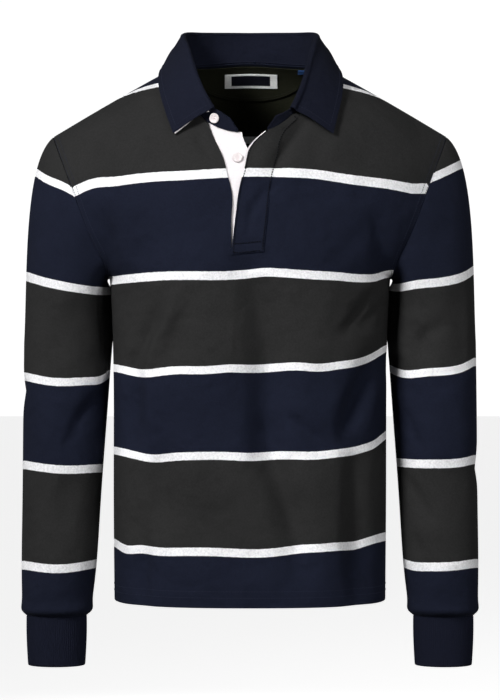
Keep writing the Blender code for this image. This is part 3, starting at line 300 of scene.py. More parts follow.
# ---- folds: width and depth of a soft trough, or of a ridge where the depth is below 0, and the
# (x, z) points of its line
FOLD_START = 0.08  # how much of a fold's rise lies before its line starts
FOLD_POWER = 0.6  # below 1 it rises quickly
SIDE_FADE = 0.06  # share of the panel's width over which folds fade out at its sides
RIDGE_FADE = (0.995, 0.04)  # level where they are gone below the ridge, and levels to full
FRONT_FOLDS = (
    # the long one down the middle, and where it runs off to the wearer's left
    (0.024, 0.024, (0.000, -0.258), (0.013, -0.304), (0.020, -0.345), (0.022, -0.416), (0.025, -0.490)),
    (0.020, 0.020, (0.020, -0.462), (0.040, -0.525), (0.056, -0.575), (0.064, -0.620)),
    # left of the middle
    (0.018, -0.003, (-0.058, -0.285), (-0.062, -0.350)),
    (0.013, -0.009, (-0.092, -0.290), (-0.126, -0.362)),
    (0.012, 0.010, (-0.112, -0.300), (-0.150, -0.372)),
    (0.013, 0.009, (-0.148, -0.375), (-0.148, -0.470)),
    (0.010, -0.003, (-0.125, -0.391), (-0.122, -0.480)),
    (0.018, 0.010, (-0.114, -0.470), (-0.110, -0.575)),
    (0.013, 0.009, (-0.137, -0.560), (-0.137, -0.672)),
    # placket and collar
    (0.006, 0.0034, (0.033, -0.1485), (0.0156, -0.161), (0.003, -0.177), (-0.003, -0.2045)),
    (0.008, 0.008, (0.066, -0.072), (0.046, -0.100), (0.028, -0.130)),
    (0.006, 0.003, (-0.069, -0.082), (-0.053, -0.108)),
    # from the armpits
    (0.013, 0.007, (0.158, -0.186), (0.168, -0.225), (0.172, -0.262)),
    (0.012, 0.007, (-0.188, -0.178), (-0.181, -0.215), (-0.178, -0.255)),
    (0.010, 0.002, (0.140, -0.205), (0.100, -0.250)),
    (0.010, 0.002, (-0.165, -0.215), (-0.120, -0.245)),
    # wearer's left side
    (0.008, 0.007, (0.152, -0.288), (0.120, -0.331)),
    (0.006, 0.005, (0.167, -0.298), (0.142, -0.322)),
    (0.006, 0.003, (0.135, -0.328), (0.164, -0.321)),
    (0.008, 0.006, (0.045, -0.436), (0.097, -0.472)),
    (0.015, 0.016, (0.156, -0.370), (0.142, -0.405), (0.120, -0.460)),
    (0.010, -0.003, (0.163, -0.392), (0.150, -0.440)),
    (0.019, 0.016, (0.136, -0.480), (0.138, -0.560), (0.139, -0.672)),
    (0.008, -0.003, (0.149, -0.500), (0.150, -0.600)),
)
BACK_FOLDS = (
    (0.018, 0.008, (0.010, -0.300), (-0.020, -0.430), (-0.010, -0.560)),
    (0.012, 0.007, (0.152, -0.215), (0.142, -0.275), (0.120, -0.330)),
    (0.012, 0.007, (-0.152, -0.215), (-0.144, -0.275), (-0.126, -0.345)),
    (0.014, 0.006, (0.080, -0.440), (0.092, -0.520), (0.110, -0.600)),
    (0.014, 0.006, (-0.095, -0.470), (-0.120, -0.620)),
    (0.014, -0.003, (-0.060, -0.330), (-0.075, -0.450)),
    (0.012, 0.003, (0.060, -0.250), (0.090, -0.340)),
    (0.012, -0.003, (0.030, -0.500), (0.044, -0.600)),
    (0.008, 0.003, (-0.140, -0.380), (-0.118, -0.420)),
    (0.008, 0.003, (0.145, -0.370), (0.122, -0.415)),
)
# Sleeve folds: lines of (turn round the sleeve, z). Turn 0.25 is the front of it.
SLEEVE_FOLDS = {
    "left": (
        (0.009, 0.006, (0.175, -0.158), (0.167, -0.191), (0.127, -0.219), (0.110, -0.261)),
        (0.009, 0.006, (0.316, -0.312), (0.216, -0.334), (0.153, -0.368)),
        (0.010, 0.006, (0.050, -0.290), (0.055, -0.373)),
        (0.012, 0.003, (0.352, -0.275), (0.352, -0.373)),
        (0.009, 0.005, (0.100, -0.432), (0.181, -0.478)),
        (0.010, 0.005, (0.080, -0.514), (0.206, -0.567)),
        (0.010, 0.004, (0.120, -0.600), (0.160, -0.612)),
        (0.012, 0.006, (0.620, -0.400), (0.800, -0.470)),
        (0.011, 0.006, (0.860, -0.290), (0.700, -0.345)),
        (0.012, 0.005, (0.600, -0.520), (0.760, -0.570)),
        (0.012, 0.004, (0.420, -0.480), (0.520, -0.520)),
    ),
    "right": (
        (0.012, 0.004, (0.239, -0.174), (0.198, -0.236)),
        (0.010, 0.007, (0.085, -0.285), (0.080, -0.375)),
        (0.010, 0.004, (0.298, -0.317), (0.234, -0.368)),
        (0.009, 0.006, (0.035, -0.398), (0.196, -0.443)),
        (0.009, 0.005, (0.146, -0.423), (0.227, -0.475)),
        (0.007, 0.003, (0.055, -0.424), (0.141, -0.447)),
        (0.014, 0.004, (0.208, -0.512), (0.226, -0.578)),
        (0.012, 0.006, (0.620, -0.420), (0.800, -0.480)),
        (0.011, 0.006, (0.860, -0.300), (0.720, -0.350)),
        (0.012, 0.005, (0.580, -0.535), (0.760, -0.580)),
        (0.012, 0.004, (0.440, -0.390), (0.540, -0.430)),
    ),
}
# Where the sleeve presses against the body's side, below the armpit.
TOUCH_Z = (-0.264, -0.272, -0.334, -0.347)  # from nothing to full and back
TOUCH_TURN = 0.026
TOUCH_PRESS = 0.0004


# ---- stripes: x and height of their middles where the camera sees them on the plane y = 0, read
# off the photo's columns and rounded to half a millimetre, from the top stripe down
STRIPE_HALF = 0.0443  # half a white stripe, in pitches
FRONT_STRIPES = (
    dict(x=(-0.227, -0.202, -0.163, -0.144, -0.124, -0.105, -0.079, -0.053, 0.0, 0.064, 0.090, 0.116,
            0.150, 0.176, 0.210),
         z=(-0.0525, -0.0405, -0.024, -0.016, -0.012, -0.0055, -0.003, -0.003, -0.003, -0.003, -0.003,
            -0.0075, -0.019, -0.0295, -0.047)),
    dict(x=(-0.227, -0.202, -0.177, -0.163, -0.124, -0.079, 0.0, 0.038, 0.090, 0.116, 0.150, 0.176, 0.210),
         z=(-0.1495, -0.1385, -0.136, -0.134, -0.1295, -0.127, -0.123, -0.1235, -0.1265, -0.1305, -0.1355,
            -0.139, -0.146)),
    dict(x=(-0.227, -0.177, -0.144, -0.105, -0.053, 0.0, 0.019, 0.038, 0.090, 0.116, 0.136, 0.150, 0.163,
            0.176, 0.210),
         z=(-0.2695, -0.2635, -0.260, -0.2575, -0.2575, -0.255, -0.253, -0.2535, -0.257, -0.2585, -0.2605,
            -0.261, -0.260, -0.256, -0.259)),
    dict(x=(-0.227, -0.202, -0.163, -0.144, -0.105, -0.053, -0.027, 0.0, 0.038, 0.064, 0.090, 0.116,
            0.136, 0.163, 0.176, 0.210),
         z=(-0.375, -0.375, -0.380, -0.384, -0.381, -0.380, -0.378, -0.3785, -0.3765, -0.3755, -0.377,
            -0.374, -0.371, -0.3605, -0.3525, -0.3475)),
    dict(x=(-0.227, -0.202, -0.177, -0.144, -0.124, -0.105, -0.079, -0.053, -0.027, 0.0, 0.038, 0.090,
            0.116, 0.136, 0.150, 0.163, 0.176, 0.210),
         z=(-0.4825, -0.4825, -0.4845, -0.492, -0.495, -0.4935, -0.492, -0.4915, -0.492, -0.493, -0.491,
            -0.491, -0.488, -0.485, -0.481, -0.4755, -0.465, -0.462)),
    dict(x=(-0.227, -0.202, -0.177, -0.163, -0.144, -0.124, -0.105, -0.053, 0.0, 0.038, 0.064, 0.090,
            0.116, 0.136, 0.150, 0.176, 0.210),
         z=(-0.601, -0.601, -0.604, -0.6125, -0.613, -0.6155, -0.6165, -0.6165, -0.6185, -0.6165, -0.613,
            -0.6115, -0.6095, -0.608, -0.604, -0.5965, -0.593)),
)
# The sleeves start with stripe 1. Names are the wearer's sides, so the left sleeve has +X.
SLEEVE_STRIPES = {
    "left": (
        dict(x=(0.181, 0.197, 0.210, 0.227, 0.246, 0.266, 0.279, 0.291),
             z=(-0.1655, -0.1525, -0.140, -0.133, -0.126, -0.1165, -0.111, -0.1085)),
        dict(x=(0.181, 0.189, 0.210, 0.246, 0.266, 0.279, 0.291),
             z=(-0.272, -0.273, -0.270, -0.266, -0.2625, -0.258, -0.250)),
        dict(x=(0.181, 0.197, 0.227, 0.266, 0.279, 0.291),
             z=(-0.378, -0.3845, -0.3835, -0.380, -0.376, -0.3695)),
        dict(x=(0.181, 0.210, 0.246, 0.279, 0.291), z=(-0.499, -0.5015, -0.502, -0.4995, -0.4965)),
        dict(x=(0.181, 0.197, 0.210, 0.227, 0.266, 0.291),
             z=(-0.6255, -0.630, -0.6345, -0.636, -0.635, -0.6315)),
    ),
    "right": (
        dict(x=(-0.292, -0.280, -0.267, -0.241, -0.227, -0.209, -0.190, -0.183),
             z=(-0.115, -0.122, -0.1305, -0.142, -0.1495, -0.155, -0.159, -0.159)),
        dict(x=(-0.292, -0.267, -0.227, -0.190, -0.183), z=(-0.258, -0.2655, -0.2735, -0.2775, -0.2775)),
        dict(x=(-0.292, -0.254, -0.209, -0.190, -0.183), z=(-0.3885, -0.3955, -0.3945, -0.3905, -0.385)),
        dict(x=(-0.292, -0.241, -0.209, -0.183), z=(-0.5035, -0.5095, -0.5085, -0.507)),
        dict(x=(-0.292, -0.254, -0.209, -0.190, -0.183), z=(-0.634, -0.6385, -0.6335, -0.629, -0.627)),
    ),
}
FIRST_GAP = {"front": 0.055, "sleeve": 0.115}  # from the first stripe up to the one that isn't there
LAST_GAP = 0.122
SHOULDER_PITCH = {"front": 0.142, "back": 0.093}  # of cloth, above stripe 1
SHOULDER_WIDEN = {"front": 0.21, "back": 0.0}  # how fast that grows outward
SHOULDER_FROM = 0.110  # from this length across, from the centre line
SIDE_X = 0.1765
BACK_RISE = (0.075, 0.068, 0.062, 0.042, 0.025, 0.012)  # of each stripe at the centre back

# ---------------------------------------------------------------- curves


def unit(vectors):
    return vectors / np.maximum(np.linalg.norm(vectors, axis=-1, keepdims=True), 1e-12)


def spline(knots, values, at):
    """Natural cubic spline through the knots, read at the places `at`."""
    knots = np.asarray(knots, float)
    values = np.asarray(values, float)
    at = np.asarray(at, float)
    step = np.diff(knots)
    slope = np.diff(values) / step
    count = len(knots)
    matrix = np.eye(count)
    right = np.zeros(count)
    for i in range(1, count - 1):
        matrix[i, i - 1 : i + 2] = step[i - 1], 2 * (step[i - 1] + step[i]), step[i]
        right[i] = 6 * (slope[i] - slope[i - 1])
    bend = np.linalg.solve(matrix, right)
    i = np.clip(np.searchsorted(knots, at, "right") - 1, 0, count - 2)
    past = at - knots[i]
    left = knots[i + 1] - at
    cubic = (bend[i] * left**3 + bend[i + 1] * past**3) / (6 * step[i])
    low = (values[i] / step[i] - bend[i] * step[i] / 6) * left
    high = (values[i + 1] / step[i] - bend[i + 1] * step[i] / 6) * past
    return cubic + low + high


def curve(table, key, at):
    """The x, y and z columns of a table as one curve over its `key` column."""
    return np.stack([spline(table[key], table[axis], at) for axis in "xyz"], -1)


def hermite(start, leave, end, arrive, h):
    """The curve that leaves start and arrives at end in the given directions, at h from 0 to 1."""
    return (
        (2 * h**3 - 3 * h**2 + 1) * start
        + (h**3 - 2 * h**2 + h) * leave
        + (3 * h**2 - 2 * h**3) * end
        + (h**3 - h**2) * arrive
    )


def size(vectors):
    return np.linalg.norm(vectors, axis=-1, keepdims=True)


def along(points):
    """Length walked from the first point to each."""
    steps = np.linalg.norm(np.diff(points, axis=0), axis=1)
    return np.concatenate([[0.0], np.cumsum(steps)])


def finer(values):
    """The values with FINE - 1 more between each two."""
    values = np.asarray(values, float)
    count = len(values)
    at = np.linspace(0, count - 1, (count - 1) * FINE + 1)
    return np.interp(at, np.arange(count), values)


STAND_END = {side: finer(heights) for side, heights in STAND_ENDS.items()}


def trough(places, folds):
    """Depth of all the folds at each (across, up) place."""
    total = np.zeros(places.shape[:-1])
    for width, depth, *line in folds:
        line = np.array(line)
        chord = line[-1] - line[0]
        share = np.clip(((places - line[0]) @ chord) / (chord @ chord), 0, 1)
        nearest = np.full(total.shape, np.inf)
        for a, b in zip(line, line[1:]):
            way = b - a
            t = np.clip(((places - a) @ way) / (way @ way), 0, 1)
            gap = np.linalg.norm(places - a - t[..., None] * way, axis=-1)
            nearest = np.minimum(gap, nearest)
        rise = np.sin(np.pi * (FOLD_START + (1 - 2 * FOLD_START) * share)) ** FOLD_POWER
        total += depth * rise * np.exp(-((nearest / width) ** 2))
    return total


# ---------------------------------------------------------------- body form


def side_edge(v, facing):
    """The panel's side: the side seam up to the armpit, then the armhole seam."""
    v = np.asarray(v, float)
    low = np.clip(v, 0, ARMPIT_V)
    seam = np.stack(
        [
            spline(SIDE_SEAM["v"], SIDE_SEAM["x"], low),
            np.zeros_like(v),
            spline(SIDE_SEAM["v"], SIDE_SEAM["z"], low),
        ],
        -1,
    )
    half_round = np.clip((v - ARMPIT_V) / (1 - ARMPIT_V), 0, 1) / 2
    turn = half_round if facing < 0 else 1 - half_round
    return np.where((v > ARMPIT_V)[..., None], curve(ARMHOLE, "turn", turn), seam)


def arc(angle, square):
    """A point of a rounded quarter turn, across and deep; square 2 is a circle."""
    across, deep = np.sin(angle), np.cos(angle)
    radius = (across**square + deep**square) ** (-1 / square)
    return radius * across, radius * deep


class Form:
    """The front or back of the body. t runs from -1 to 1 across it and v from 0 to 1 up."""

    def __init__(self, sections, facing, folds):
        self.sections = sections
        self.facing = facing
        self.folds = folds

    def body(self, t, v):
        """Its points before any fold."""
        t = np.asarray(t, float)
        v = np.asarray(v, float)
        sections = self.sections
        row = {key: spline(sections["v"], sections[key], v) for key in sections if key != "v"}
        side = side_edge(v, self.facing)
        end = np.minimum(row["turn"], 0.9999) * HALF_TURN
        across, deep = arc(np.abs(t) * end, row["square"])
        full_across, full_deep = arc(end, row["square"])
        across = across / full_across
        sink = (1 - deep) / (1 - full_deep)
        x = side[..., 0] * across * np.sign(t)
        y = row["y"] + (side[..., 1] - row["y"]) * sink
        z = row["z"] + (side[..., 2] - row["z"]) * across ** row["power"]
        return np.stack([x, y, z], -1)

    def normals(self, t, v):
        """Unit outward normals of the body."""
        tiny = 1e-4
        across = self.body(t + tiny, v) - self.body(t - tiny, v)
        up = self.body(t, np.clip(v + tiny, 0, 1)) - self.body(t, np.clip(v - tiny, 0, 1))
        return unit(np.cross(across, up)) * -self.facing

    def points(self, t, v):
        """Its points with the folds pressed in, which fade out at its seams."""
        points = self.body(t, v)
        below, full = RIDGE_FADE
        edge = np.clip((1 - np.abs(t)) / SIDE_FADE, 0, 1) * np.clip((below - v) / full, 0, 1)
        press = trough(points[..., [0, 2]], self.folds) * edge
        return points - self.normals(t, v) * press[..., None]

    def folded_normals(self, t, v):
        """Unit outward normals of the folded points."""
        tiny = 5e-4
        across = self.points(np.clip(t + tiny, -1, 1), v) - self.points(np.clip(t - tiny, -1, 1), v)
        up = self.points(t, np.clip(v + tiny, 0, 1)) - self.points(t, np.clip(v - tiny, 0, 1))
        return unit(np.cross(across, up)) * -self.facing

    def lengths(self, t, v):
        """Lengths of cloth across, from t = 0, and up, from the hem, to each place."""
        across = np.linspace(-1, 1, 201)
        up = np.linspace(0, 1, 101)
        points = self.body(*np.broadcast_arrays(across[None, :], up[:, None]))
        over = np.stack([along(row) for row in points])
        over -= over[:, [100]]
        rise = np.stack([along(column) for column in points.transpose(1, 0, 2)], 1)
        table = np.stack([over, rise], -1)
        return sample(table, np.clip(v, 0, 1) * 100, (np.clip(t, -1, 1) + 1) * 100)

    def panel(self, t, v):
        """Points, normals and cloth lengths of a panel's grid."""
        return self.points(t, v), self.folded_normals(t, v), self.lengths(t, v)


FRONT = Form(FRONT_SECTIONS, -1.0, FRONT_FOLDS)
BACK = Form(BACK_SECTIONS, 1.0, BACK_FOLDS)


def t_at_x(x, v):
    """The t at which the front has this x, on the level v."""
    trial = np.linspace(-0.6, 0.6, 241)
    return np.array([np.interp(a, FRONT.body(trial, np.full(241, b))[:, 0], trial) for a, b in zip(x, v)])


NECK_T = float(t_at_x([NECK_X], [1.0])[0])


def neck_level(t, side):
    """Level of the neckline at t, 1 from the side of the neck outward."""
    share = np.clip(np.abs(t) / NECK_T, 0, 1)
    return 1 - (1 - NECK_V[side]) * (1 - share**2) ** (NECK_ROUND[side] / 2)


def level(v, top):
    """The rows' own v, which sinks towards a neckline that lies below the ridge."""
    lift = np.clip((v - EASE_FROM_V) / (1 - EASE_FROM_V), 0, 1)
    return v - (1 - top) * lift**2


def spread(anchors, rows, top_level):
    """Columns between anchor lines.

    anchors is a list of (column number, t at each row). Between two of them the columns are
    even at the hem, and even along the neckline or shoulder at the top.
    """
    count = anchors[-1][0] + 1
    t = np.zeros((len(rows), count))
    for (a, t_a), (b, t_b) in zip(anchors, anchors[1:]):
        dense = np.linspace(t_a[-1], t_b[-1], 200)
        lengths = along(top_level(dense))
        even = np.linspace(0, 1, b - a + 1)
        at_top = np.interp(even * lengths[-1], lengths, np.linspace(0, 1, 200))
        share = even + (at_top - even) * (rows[:, None] ** 2)
        t[:, a : b + 1] = t_a[:, None] + (t_b - t_a)[:, None] * share
    return t


def panel_rows(arm_rows):
    """v of a panel's rows: even up to the armpit, then the given ones."""
    return finer(tuple(np.linspace(0, ARMPIT_V, SIDE_ROWS + 1)[:-1]) + arm_rows)


def slit_line(rows, side):
    """x and t of one edge of the neck slit at each row; below its foot both edges are one line."""
    foot = level(np.array([rows[SLIT_ROW]]), NECK_FRONT_V)[0]
    levels = level(rows, NECK_FRONT_V)
    height = np.clip((levels - foot) / (levels[-1] - foot), 0, 1)
    x = SLIT_FOOT_X + spline(SLIT["height"], SLIT[side], height)
    return x, t_at_x(x, levels)


def half(side):
    """t and v of half of a panel, out to its side: a half of the front from the slit, or the back's
    +X half from its centre line."""
    rows = panel_rows(ARM_ROWS_BACK if side == "back" else ARM_ROWS_FRONT)
    form = BACK if side == "back" else FRONT
    sign = -1.0 if side == "left" else 1.0

    def top_curve(t):
        return form.body(t, neck_level(t, side))

    anchors = [(0, np.zeros(len(rows)))]
    if side != "back":
        edge_x, edge_t = slit_line(rows, side)
        anchors = [(0, edge_t)]
    if side == "right":
        seam_t = t_at_x(edge_x + PLACKET_WIDTH, level(rows, NECK_FRONT_V))
        trial = np.linspace(edge_t[-1], NECK_T, 200)
        seam_t[-1] = np.interp(PLACKET_WIDTH, along(top_curve(trial)), trial)
        anchors.append((PLACKET_COLUMNS, seam_t))
    neck_t = sign * (HIP_T + (NECK_T - HIP_T) * rows ** NECK_TURN[side])
    anchors.append((NECK_COLUMNS[side], neck_t))
    anchors.append((NECK_COLUMNS[side] + SHOULDER_COLUMNS, np.full(len(rows), sign)))
    t = spread(anchors, rows, top_curve)
    top = neck_level(t[-1], side)
    v = level(rows[:, None], top[None, :])
    v[-1] = top
    return t, v


def sample(grid, rows, columns):
    """The grid read between its points, at fractional row and column numbers."""
    r = np.clip(rows.astype(int), 0, grid.shape[0] - 2)
    c = np.clip(columns.astype(int), 0, grid.shape[1] - 2)
    down = (rows - r)[..., None]
    over = (columns - c)[..., None]
    near = grid[r, c] * (1 - over) + grid[r, c + 1] * over
    far = grid[r + 1, c] * (1 - over) + grid[r + 1, c + 1] * over
    return near * (1 - down) + far * down


HALVES = {side: half(side) for side in ("left", "right", "back")}

# ---------------------------------------------------------------- stripes


def seen(points):
    """x and z of points as the camera sees them on the plane y = 0."""
    scale = EYE_AWAY / (EYE_AWAY + points[:, 1])
    return points[:, 0] * scale, EYE_Z + (points[:, 2] - EYE_Z) * scale


def stripe_number(levels, z, first):
    """Where z lies between the stripes of each point: first at levels[:, 0], then one more each."""
    slope = np.gradient(levels, axis=1)
    slope[:, 0] = levels[:, 1] - levels[:, 0]
    slope[:, -1] = levels[:, -1] - levels[:, -2]
    count = levels.shape[1]
    k = np.clip((levels > z[:, None]).sum(1) - 1, 0, count - 2)
    at = np.arange(len(z))
    gap = levels[at, k + 1] - levels[at, k]
    share = (z - levels[at, k]) / gap
    inside = hermite(0.0, gap / slope[at, k], 1.0, gap / slope[at, k + 1], share)
    before = share * gap / slope[at, k]
    after = 1 + (share - 1) * gap / slope[at, k + 1]
    return first + k + np.where(share < 0, before, np.where(share > 1, after, inside))


def stripe_levels(stripes, x, first_gap):
    """Heights of all the stripes at each x, with one more at either end."""
    x = np.clip(x, stripes[0]["x"][0], stripes[0]["x"][-1])
    levels = [spline(stripe["x"], stripe["z"], x) for stripe in stripes]
    return np.stack([levels[0] + first_gap, *levels, levels[-1] - LAST_GAP], 1)


def front_stripes(points):
    x, z = seen(points)
    return stripe_number(stripe_levels(FRONT_STRIPES, x, FIRST_GAP["front"]), z, -1)


def back_stripes(points):
    """Level with the front's stripes at the side seams, and higher in the middle."""
    across = np.clip(points[:, 0] / SIDE_X, -1.5, 1.5)
    sides = stripe_levels(FRONT_STRIPES, np.array([-SIDE_X, SIDE_X]), FIRST_GAP["front"])
    rise = np.array((BACK_RISE[0],) + BACK_RISE + (0.0,))
    share = (np.clip(across, -1, 1)[:, None] + 1) / 2
    levels = sides[0] * (1 - share) + sides[1] * share + rise * (1 - across[:, None] ** 2)
    return stripe_number(levels, points[:, 2], -1)


def panel_stripes(form, numbers, pitch, widen):
    """Stripe numbers of a panel: numbers(points) up to stripe 1, then even lengths of cloth.

    widen is how fast the pitch grows past SHOULDER_FROM from the centre line.
    """
    t, v = np.meshgrid(np.linspace(-0.99, 0.99, 100), np.linspace(0.4, 0.9, 501))
    number = numbers(form.body(t, v).reshape(-1, 3)).reshape(t.shape)
    first_v = np.array([np.interp(-1.0, -number[:, k], v[:, k]) for k in range(t.shape[1])])
    line = form.lengths(t[0], first_v)

    def stripes(sheet):
        over, up = sheet.cloth.T
        above = up - np.interp(over, line[:, 0], line[:, 1])
        wider = pitch + widen * np.maximum(np.abs(over) - SHOULDER_FROM, 0)
        return np.where(above > 0, 1 - above / wider, numbers(sheet.points))

    return stripes


def sleeve_stripes(side):
    def stripes(sheet):
        x, z = seen(sheet.points)
        return stripe_number(stripe_levels(SLEEVE_STRIPES[side], x, FIRST_GAP["sleeve"]), z, 0)

    return stripes


# ---------------------------------------------------------------- sheets and walls


class Sheet:
    """Outer points and faces of one piece of cloth, faces counter-clockwise from outside.

    cloth holds the lengths across and up the cloth at each point, from the column `zero`.
    """

    def __init__(self, name, grid, thick, flip=False, zero=0, normals=None, lengths=None):
        rows, columns = grid.shape[:2]
        self.name = name
        self.grid = grid
        self.points = grid.reshape(-1, 3).copy()
        self.cloth = cloth_lengths(grid, zero) if lengths is None else lengths.reshape(-1, 2)
        self.faces = quads(np.arange(rows * columns).reshape(rows, columns), flip)
        if normals is None:
            normals = point_normals(self.points, self.faces)
        self.normals = normals.reshape(-1, 3)
        self.settle(thick)

    def settle(self, thick):
        """The cloth's wall at each point: its depth, the way in, its rounding and half its seam."""
        self.inward = -self.normals
        self.thick = np.full(len(self.points), thick)
        self.bevel = self.thick / 2
        self.gap = np.full(len(self.points), SEAM_GAP / 2)

    def add(self, grid, same, normals, lengths):
        """Joins another grid to this sheet; same maps its point numbers to ours."""
        start = len(self.points)
        rows, columns = grid.shape[:2]
        number = np.arange(rows * columns) + start
        for theirs, ours in same.items():
            number[theirs] = ours
        self.points = np.concatenate([self.points, grid.reshape(-1, 3)])
        self.cloth = np.concatenate([self.cloth, lengths.reshape(-1, 2)])
        self.normals = np.concatenate([self.normals, normals.reshape(-1, 3)])
        self.faces += quads(number.reshape(rows, columns), False)
        self.keep_used()
        self.settle(self.thick[0])

    def keep_used(self):
        """Drops points that no face uses."""
        used = sorted({i for face in self.faces for i in face})
        renumber = {old: new for new, old in enumerate(used)}
        self.points = self.points[used]
        self.cloth = self.cloth[used]
        self.normals = self.normals[used]
        self.faces = [[renumber[i] for i in face] for face in self.faces]


def cloth_lengths(grid, zero):
    across = np.stack([along(row) for row in grid])
    across = across - across[:, [zero]]
    up = np.stack([along(column) for column in grid.transpose(1, 0, 2)], 1)
    return np.stack([across, up], -1).reshape(-1, 2)


def quads(number, flip):
    faces = []
    for r in range(number.shape[0] - 1):
        for c in range(number.shape[1] - 1):
            face = [number[r, c], number[r, c + 1], number[r + 1, c + 1], number[r + 1, c]]
            faces.append(face[::-1] if flip else face)
    return faces


def point_normals(points, faces):
    normals = np.zeros_like(points)
    corners = np.asarray(faces)
    a, b, c, d = (points[corners[:, i]] for i in range(4))
    face_normals = np.cross(c - a, d - b)
    for i in range(4):
        np.add.at(normals, corners[:, i], face_normals)
    return unit(normals)


def open_edges(faces):
    """Edges that only one face uses, each in that face's direction."""
    used = {}
    for face in faces:
        for a, b in zip(face, face[1:] + face[:1]):
            used[(a, b)] = True
    return [(a, b) for a, b in used if (b, a) not in used]


def mitre(groups):
    """Where sheets meet, makes their walls end on the plane that halves the seam.

    The sheets of one group count as one side of a seam with another group.
    """
    found = {}
    for group, sheets in enumerate(groups):
        for sheet in sheets:
            for i in {k for edge in open_edges(sheet.faces) for k in edge}:
                key = tuple(np.round(sheet.points[i] / SAME_PLACE).astype(int))
                found.setdefault(key, {}).setdefault(group, []).append((sheet, i))
    for meeting in found.values():
        if sum(len(side) for side in meeting.values()) < 2:
            continue
        sides = [unit(sum(sheet.normals[i] for sheet, i in side)) for side in meeting.values()]
        middle = unit(sum(sides))
        for side in meeting.values():
            for sheet, i in side:
                slant = max(float(sheet.normals[i] @ middle), 1 / MOST_MITRE)
                sheet.inward[i] = -middle / slant


def drawn_back(sheet, edges, distance):
    """The points, with those on the open edges moved into the sheet by these distances."""
    shift = np.zeros_like(sheet.points)
    for a, b in edges:
        way = unit(sheet.points[b] - sheet.points[a])
        for i in (a, b):
            shift[i] += np.cross(sheet.normals[i], way)
    length = np.linalg.norm(shift, axis=1, keepdims=True)
    # A point with two edges in line gets 2 from them, and one at a corner gets less.
    corner = np.clip(length, 1.2, 2.0) / 2
    moved = unit(shift) * (distance[:, None] / corner)
    return sheet.points + np.where(length > 1e-9, moved, 0)


def wall(sheet):
    """Closed mesh of the sheet: its outer face, its inner face and a rounded rim between them.

    Returns points, faces, normals, and for each point the number of the sheet's point that it
    comes from and whether it is on the inner face.
    """
    count = len(sheet.points)
    edges = open_edges(sheet.faces)
    rim = np.array(sorted({i for edge in edges for i in edge}))
    thick = sheet.thick[:, None]
    outer = drawn_back(sheet, edges, sheet.gap + sheet.bevel)
    inner = outer - sheet.normals * thick
    lip = drawn_back(sheet, edges, sheet.gap)[rim] + sheet.inward[rim] * thick[rim] / 2
    middle = (outer[rim] + inner[rim]) / 2
    points = [outer, inner]
    normals = [sheet.normals, -sheet.normals]
    source = [np.arange(count), np.arange(count)]
    inside = [np.zeros(count), np.ones(count)]
    for step in range(1, RIM_STEPS + 1):
        angle = math.pi * step / (RIM_STEPS + 1)
        points.append(middle + (outer[rim] - middle) * math.cos(angle) + (lip - middle) * math.sin(angle))
        normals.append(unit(sheet.normals[rim] * math.cos(angle) + unit(lip - middle) * math.sin(angle)))
        source.append(rim)
        inside.append(np.zeros(len(rim)))
    place = {int(i): k for k, i in enumerate(rim)}
    faces = list(sheet.faces) + [[i + count for i in face[::-1]] for face in sheet.faces]

    def chain(i):
        steps = [2 * count + step * len(rim) + place[i] for step in range(RIM_STEPS)]
        return [i, *steps, i + count]

    for a, b in edges:
        from_a, from_b = chain(a), chain(b)
        for k in range(RIM_STEPS + 1):
            faces.append([from_b[k], from_a[k], from_a[k + 1], from_b[k + 1]])
    joined = [np.concatenate(part) for part in (points, normals, source, inside)]
    return joined[0], faces, *joined[1:]


# ---------------------------------------------------------------- panels


def make_front():
    """The front in one sheet, and the grids of its two halves."""
    left, left_normals, left_lengths = (part[:, ::-1] for part in FRONT.panel(*HALVES["left"]))
    right, right_normals, right_lengths = FRONT.panel(*HALVES["right"])
    right[: SLIT_ROW + 1, 0] = left[: SLIT_ROW + 1, -1]
    sheet = Sheet("front", left, JERSEY, normals=left_normals, lengths=left_lengths)
    columns = left.shape[1]
    same = {r * right.shape[1]: r * columns + columns - 1 for r in range(SLIT_ROW + 1)}
    sheet.add(right, same, right_normals, right_lengths)
    return sheet, left, right


def make_back():
    t, v = HALVES["back"]
    t = np.concatenate([t[:, ::-1], -t[:, 1:]], 1)
    v = np.concatenate([v[:, ::-1], v[:, 1:]], 1)
    points, normals, lengths = BACK.panel(t, v)
    return Sheet("back", points, JERSEY, normals=normals, lengths=lengths)


def ring(table, z, turn):
    """Points of an oval section of a sleeve or cuff at height z."""
    upward = {key: column[::-1] for key, column in table.items()}
    x, y, across, deep = (spline(upward["z"], upward[key], z) for key in ("x", "y", "across", "deep"))
    angle = 2 * math.pi * turn
    return np.stack([x - across * np.cos(angle), y - deep * np.sin(angle), z + 0 * angle], -1)


def armhole_turns():
    """The turn round the sleeve of each shared armhole point, from the armpit forward and back to it."""
    front = (finer(ARM_ROWS_FRONT) - ARMPIT_V) / (1 - ARMPIT_V) / 2
    back = 1 - (finer(ARM_ROWS_BACK) - ARMPIT_V) / (1 - ARMPIT_V) / 2
    return np.concatenate([front, back[::-1][1:]])


